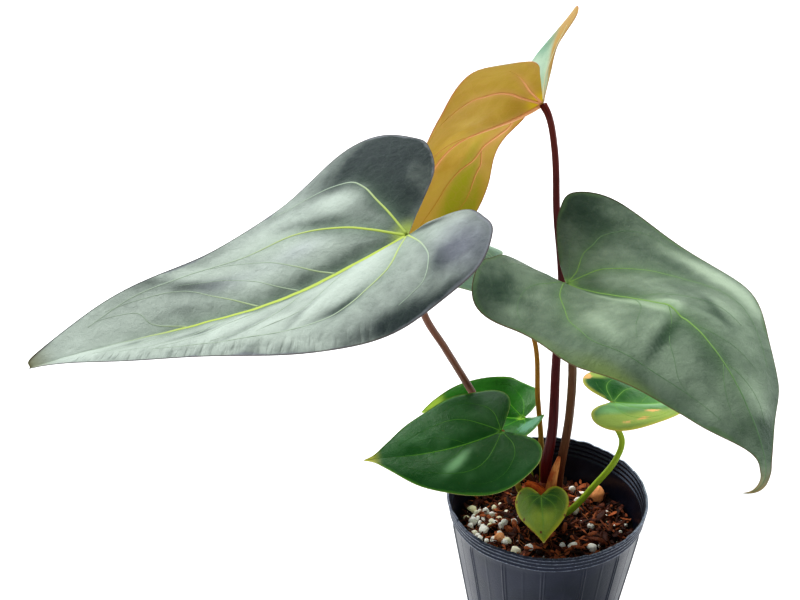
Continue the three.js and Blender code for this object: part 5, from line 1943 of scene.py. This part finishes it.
    def pebbles(self, name: str, spots: Sequence[tuple[float, float, float]], seed: int,
                rough: float, material: Material) -> Piece:
        """Rounded lumps that lie half in the mix.

        A lump is a sphere of latitude rings, stretched along three axes, with waves in its radius.

        Args:
            name: Name of the piece.
            spots: For each lump x, y and radius.
            seed: Seed of the draws.
            rough: Height of the waves as a share of the radius.
            material: What they are made of.

        Returns:
            The lumps as one object.
        """
        rng = np.random.default_rng(seed)
        rings, columns = 15, 24
        tilt = (np.arange(rings) + 1) * math.pi / (rings + 1)
        turn = turns(columns)
        sphere = np.stack([np.outer(np.sin(tilt), np.cos(turn)), np.outer(np.sin(tilt), np.sin(turn)),
                           np.outer(np.cos(tilt), np.ones(columns))], -1).reshape(-1, 3)
        sphere = np.vstack([sphere, [[0, 0, 1]], [[0, 0, -1]]])
        sheet = Sheet()
        for x, y, radius in spots:
            shape, shift = rng.uniform(0.78, 1.3, 3), rng.uniform(-9, 9, 3)
            bumps = 1 + rough * waves(sphere * 3 + shift, 4.5, seed, 3)
            points = (sphere * shape * bumps[:, None] * radius) @ rotations(rng, 1, 0.8)[0].T
            lift = float(self.height_at(x, y)) + 0.45 * radius
            sheet.add(points + [x, y, lift], closed_faces(rings, columns, True), points[:, :2],
                      tone=rng.uniform())
        return sheet.build(name, [material])

    def bead_spots(self) -> list[tuple[float, float, float]]:
        """Where the pumice beads lie: a drift at the left, single ones, and small crumbs.

        Returns:
            For each its x, y and radius.
        """
        rng = np.random.default_rng(3)
        spots: list[tuple[float, float, float]] = []
        while len(spots) < self.drift_count:
            x, y = self.drift[0] + rng.normal(0, 4.4), self.drift[1] + rng.normal(0, 6.5)
            radius = rng.uniform(1.3, 2.3)
            apart = all(math.dist((x, y), spot[:2]) > 0.8 * (radius + spot[2]) for spot in spots)
            if math.hypot(x, y) + radius < 45 and apart:
                spots.append((x, y, radius))
        spots += [(x, y, rng.uniform(1.6, 2.4)) for x, y in self.beads]
        return spots + [(x, y, rng.uniform(0.5, 1.0)) for x, y in self.scatter(rng, 46, 43)]

    def build(self) -> list[Piece]:
        """Every piece of the mix, its body first.

        Returns:
            The pieces.
        """
        return [self.bed(), self.chips(), self.fibres(),
                self.pebbles("pumice_beads", self.bead_spots(), 6, 0.12,
                             self.pumice.material("pumice")),
                self.pebbles("clay_lumps", self.lumps, 9, 0.14, self.clay.material("clay"))]


@dataclass(frozen=True)
class Sheath:
    """A papery sheath: its middle line from root to tip, its width at the root and its cup."""

    name: str
    points: tuple[Point, ...]
    width: float
    cup: float
    finish: FibreFinish
    thick: float = 0.22

    def build(self) -> Piece:
        """A pointed strip: its width falls off as a root towards the tip, and it cups across.

        Returns:
            The piece.
        """
        path = even_line(self.points, 0.7)
        tangent = unit(np.gradient(path, axis=0))
        side = unit(np.cross(np.array([0, -1.0, 0.15]), tangent))
        normal = np.cross(tangent, side)[:, None]
        u, across = np.linspace(0, 1, len(path)), np.linspace(-1, 1, 17)
        half = self.width / 2 * np.sqrt(np.clip(1 - 0.95 * u**1.4, 0, 1))[:, None]
        middle = (path[:, None] + side[:, None] * (half * across)[..., None]
                  - normal * (self.cup * half * across**2)[..., None])
        middle = middle + 0.22 * waves(middle, 5, 41, 3)[..., None] * normal
        rows, columns = len(path), len(across)
        faces = [(middle + normal * self.thick * sign).reshape(-1, 3) for sign in (1, -1)]
        size, grid = rows * columns, grid_faces(rows, columns, False)
        edge = grid_edge(rows, columns)
        flat = pairs(u * 22, across * self.width / 2)
        sheet = Sheet()
        sheet.add(np.vstack(faces), [grid, grid[:, ::-1] + size, rim_faces(edge, size)[:, ::-1]],
                  np.vstack([flat, flat]))
        return sheet.build(self.name, [self.finish.material(self.name)])


@dataclass(frozen=True)
class Crown:
    """The short stem that the petioles rise from, with its papery sheaths."""

    spot: tuple[float, float] = (0.0, 7.0)
    radius: float = 8.1
    bottom: float = 56.0
    rise: float = 42.0
    bark: FibreFinish = FibreFinish((0.1, 0.02, 0.008), (0.3, 0.06, 0.015))
    sheaths: tuple[Sheath, ...] = (
        Sheath("orange_sheath", ((-2, 0.6, 88), (-5.5, -3.6, 98.5), (-12, -6, 107)), 9.5, 0.5,
               FibreFinish((0.34, 0.03, 0.008), (0.6, 0.13, 0.02))),
        Sheath("pointed_sheath", ((1.6, 1.4, 88), (2, -1.8, 104), (5, 0, 119)), 6.4, 0.45,
               FibreFinish((0.4, 0.09, 0.025), (0.68, 0.3, 0.1))),
    )

    def stem(self) -> Piece:
        """Rings of a radius that steps in at old leaf scars, with waves for bark.

        Returns:
            The piece.
        """
        columns, rows = 72, 46
        angle, share = turns(columns), np.linspace(0, 1, rows)
        shape = np.interp(share, [0, 0.08, 0.38, 0.45, 0.52, 0.62, 0.7, 0.8, 0.9, 0.97, 1],
                          [0.8, 1, 0.97, 1.04, 0.96, 1.01, 0.92, 0.86, 0.7, 0.42, 0.05])
        z = (self.bottom + share * self.rise)[:, None] + 0 * angle
        ring = np.stack([8.2 * np.cos(angle) + 0 * z, 8.2 * np.sin(angle) + 0 * z, z], -1)
        bark = 0.35 * waves(ring, 7, 31, 3) + 0.25 * np.sin(z * 2.1)
        radius = shape[:, None] * self.radius + bark * (1 - 0.6 * share[:, None])
        points = np.stack([self.spot[0] + radius * np.cos(angle),
                           self.spot[1] + radius * np.sin(angle), z], -1).reshape(-1, 3)
        sheet = Sheet()
        sheet.add(points, capped_faces(rows, columns), pairs(z[:, 0], angle * 8))
        return sheet.build("stem_crown", [self.bark.material("crown_bark")])

    def build(self) -> list[Piece]:
        """The stem and its sheaths."""
        return [self.stem(), *(sheath.build() for sheath in self.sheaths)]


@dataclass(frozen=True)
class Lamp:
    """A soft light: where it stands and looks, in metres, its size and its power.

    A lamp with an angle is a wide sun and lights all of the floor alike; the others are squares.
    """

    name: str
    place: Point
    target: Point
    size: float
    power: float
    colour: Colour = (1.0, 1.0, 1.0)
    angle: float = 0.0

    def build(self) -> None:
        """Puts the lamp into the scene."""
        light = bpy.data.lights.new(self.name, "SUN" if self.angle else "AREA")
        if self.angle:
            light.angle = math.radians(self.angle)
        else:
            light.shape, light.size = "SQUARE", self.size
        light.energy, light.color = self.power, self.colour
        thing = bpy.data.objects.new(self.name, light)
        thing.location = self.place
        aim = Vector(self.target) - Vector(self.place)
        thing.rotation_euler = aim.to_track_quat("-Z", "Y").to_euler()
        bpy.context.scene.collection.objects.link(thing)


@dataclass(frozen=True)
class Studio:
    """A plain pale floor, soft lamps, an even surround and the camera."""

    reach: float = 9000.0
    floor_low: Colour = (0.86, 0.86, 0.86)
    floor_high: Colour = (0.9, 0.9, 0.9)
    surround: Colour = (0.94, 0.97, 1.0)
    strength: float = 0.5
    lamps: tuple[Lamp, ...] = (
        Lamp("wide_sun", (-0.5, 0.7, 1.5), (0, 0, 0), 1.0, 3.2, (1.0, 0.99, 0.97), angle=30),
        Lamp("back_soft", (-0.7, 1.3, 0.9), (-0.05, 0, 0.25), 1.2, 10, (0.93, 0.97, 1.0)),
        Lamp("left_soft", (-1.5, 0.5, 0.35), (0, 0, 0.05), 0.9, 7, (0.9, 0.95, 1.0)),
        Lamp("right_soft", (1.5, 0.5, 0.35), (0, 0, 0.05), 0.9, 7, (0.9, 0.95, 1.0)),
    )
    camera_place: Point = (-0.0774, -0.7112, 0.6429)
    camera_down: float = 31.1
    camera_lens: float = 76.5

    def floor(self) -> None:
        """The floor: one large square."""
        paint = Surface("floor")
        cloud = paint.noise(paint.place(), 0.002, 2)
        material = paint.dress(Base_Color=paint.mix(cloud, self.floor_low, self.floor_high), Roughness=0.9)
        corners = self.reach * np.array([(-1, -1, 0), (1, -1, 0), (1, 1, 0), (-1, 1, 0)])
        sheet = Sheet()
        sheet.add(corners, [np.array([[0, 1, 2, 3]])], corners[:, :2])
        sheet.build("floor", [material])

    def lights(self) -> None:
        """The lamps and the surround."""
        for lamp in self.lamps:
            lamp.build()
        world = bpy.data.worlds.new("surround")
        world.use_nodes = True
        background = world.node_tree.nodes["Background"]
        background.inputs["Color"].default_value = (*self.surround, 1)
        background.inputs["Strength"].default_value = self.strength
        bpy.context.scene.world = world
        bpy.context.scene.view_settings.view_transform = "Standard"
        bpy.context.scene.view_settings.look = "Medium High Contrast"

    def camera(self) -> None:
        """The camera, level and looking along +Y, a little down."""
        camera = bpy.data.cameras.new("photo_camera")
        camera.lens, camera.sensor_width = self.camera_lens, 36
        camera.clip_start, camera.clip_end = 0.01, 50
        thing = bpy.data.objects.new("photo_camera", camera)
        thing.location = self.camera_place
        thing.rotation_euler = (math.radians(90 - self.camera_down), 0, 0)
        bpy.context.scene.collection.objects.link(thing)
        bpy.context.scene.camera = thing

    def build(self) -> None:
        """All of it."""
        self.camera()
        self.floor()
        self.lights()


def register(piece: Piece, slot: Slot, *nodes: str) -> None:
    """Makes a piece ride on the plant, and hides the solids of the nodes it stands for.

    Args:
        piece: The object.
        slot: Its material slot; not used.
        *nodes: Nodes of the solids that it replaces.
    """
    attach(piece, ROOT)
    if nodes:
        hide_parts(*nodes)
    LOG.info("%s: %d faces", piece.name, len(piece.data.polygons))


def build_leaf(leaf: Leaf) -> None:
    """Builds and registers one leaf: blade, veins and petiole.

    Args:
        leaf: The leaf.
    """
    maker = BladeMaker(leaf)
    register(maker.blade(), leaf.slot, f"blade_{leaf.name}")
    register(maker.ribs(), leaf.slot)
    register(maker.petiole(), leaf.stalk.finish.slot, f"petiole_{leaf.name}")


def main() -> None:
    """Builds the scene, piece by piece."""
    logging.basicConfig(level=logging.INFO)
    Studio().build()
    pot = NurseryPot()
    register(pot.build(), Slot.POT, "pot")
    for pieces, slot, node in ((PottingMix(pot).build(), Slot.POTTING_MIX, "potting_mix"),
                               (Crown().build(), Slot.CROWN, "crown")):
        register(pieces[0], slot, node)
        for piece in pieces[1:]:
            register(piece, slot)
    for leaf in LEAVES:
        build_leaf(leaf)


if __name__ == "__main__":
    main()
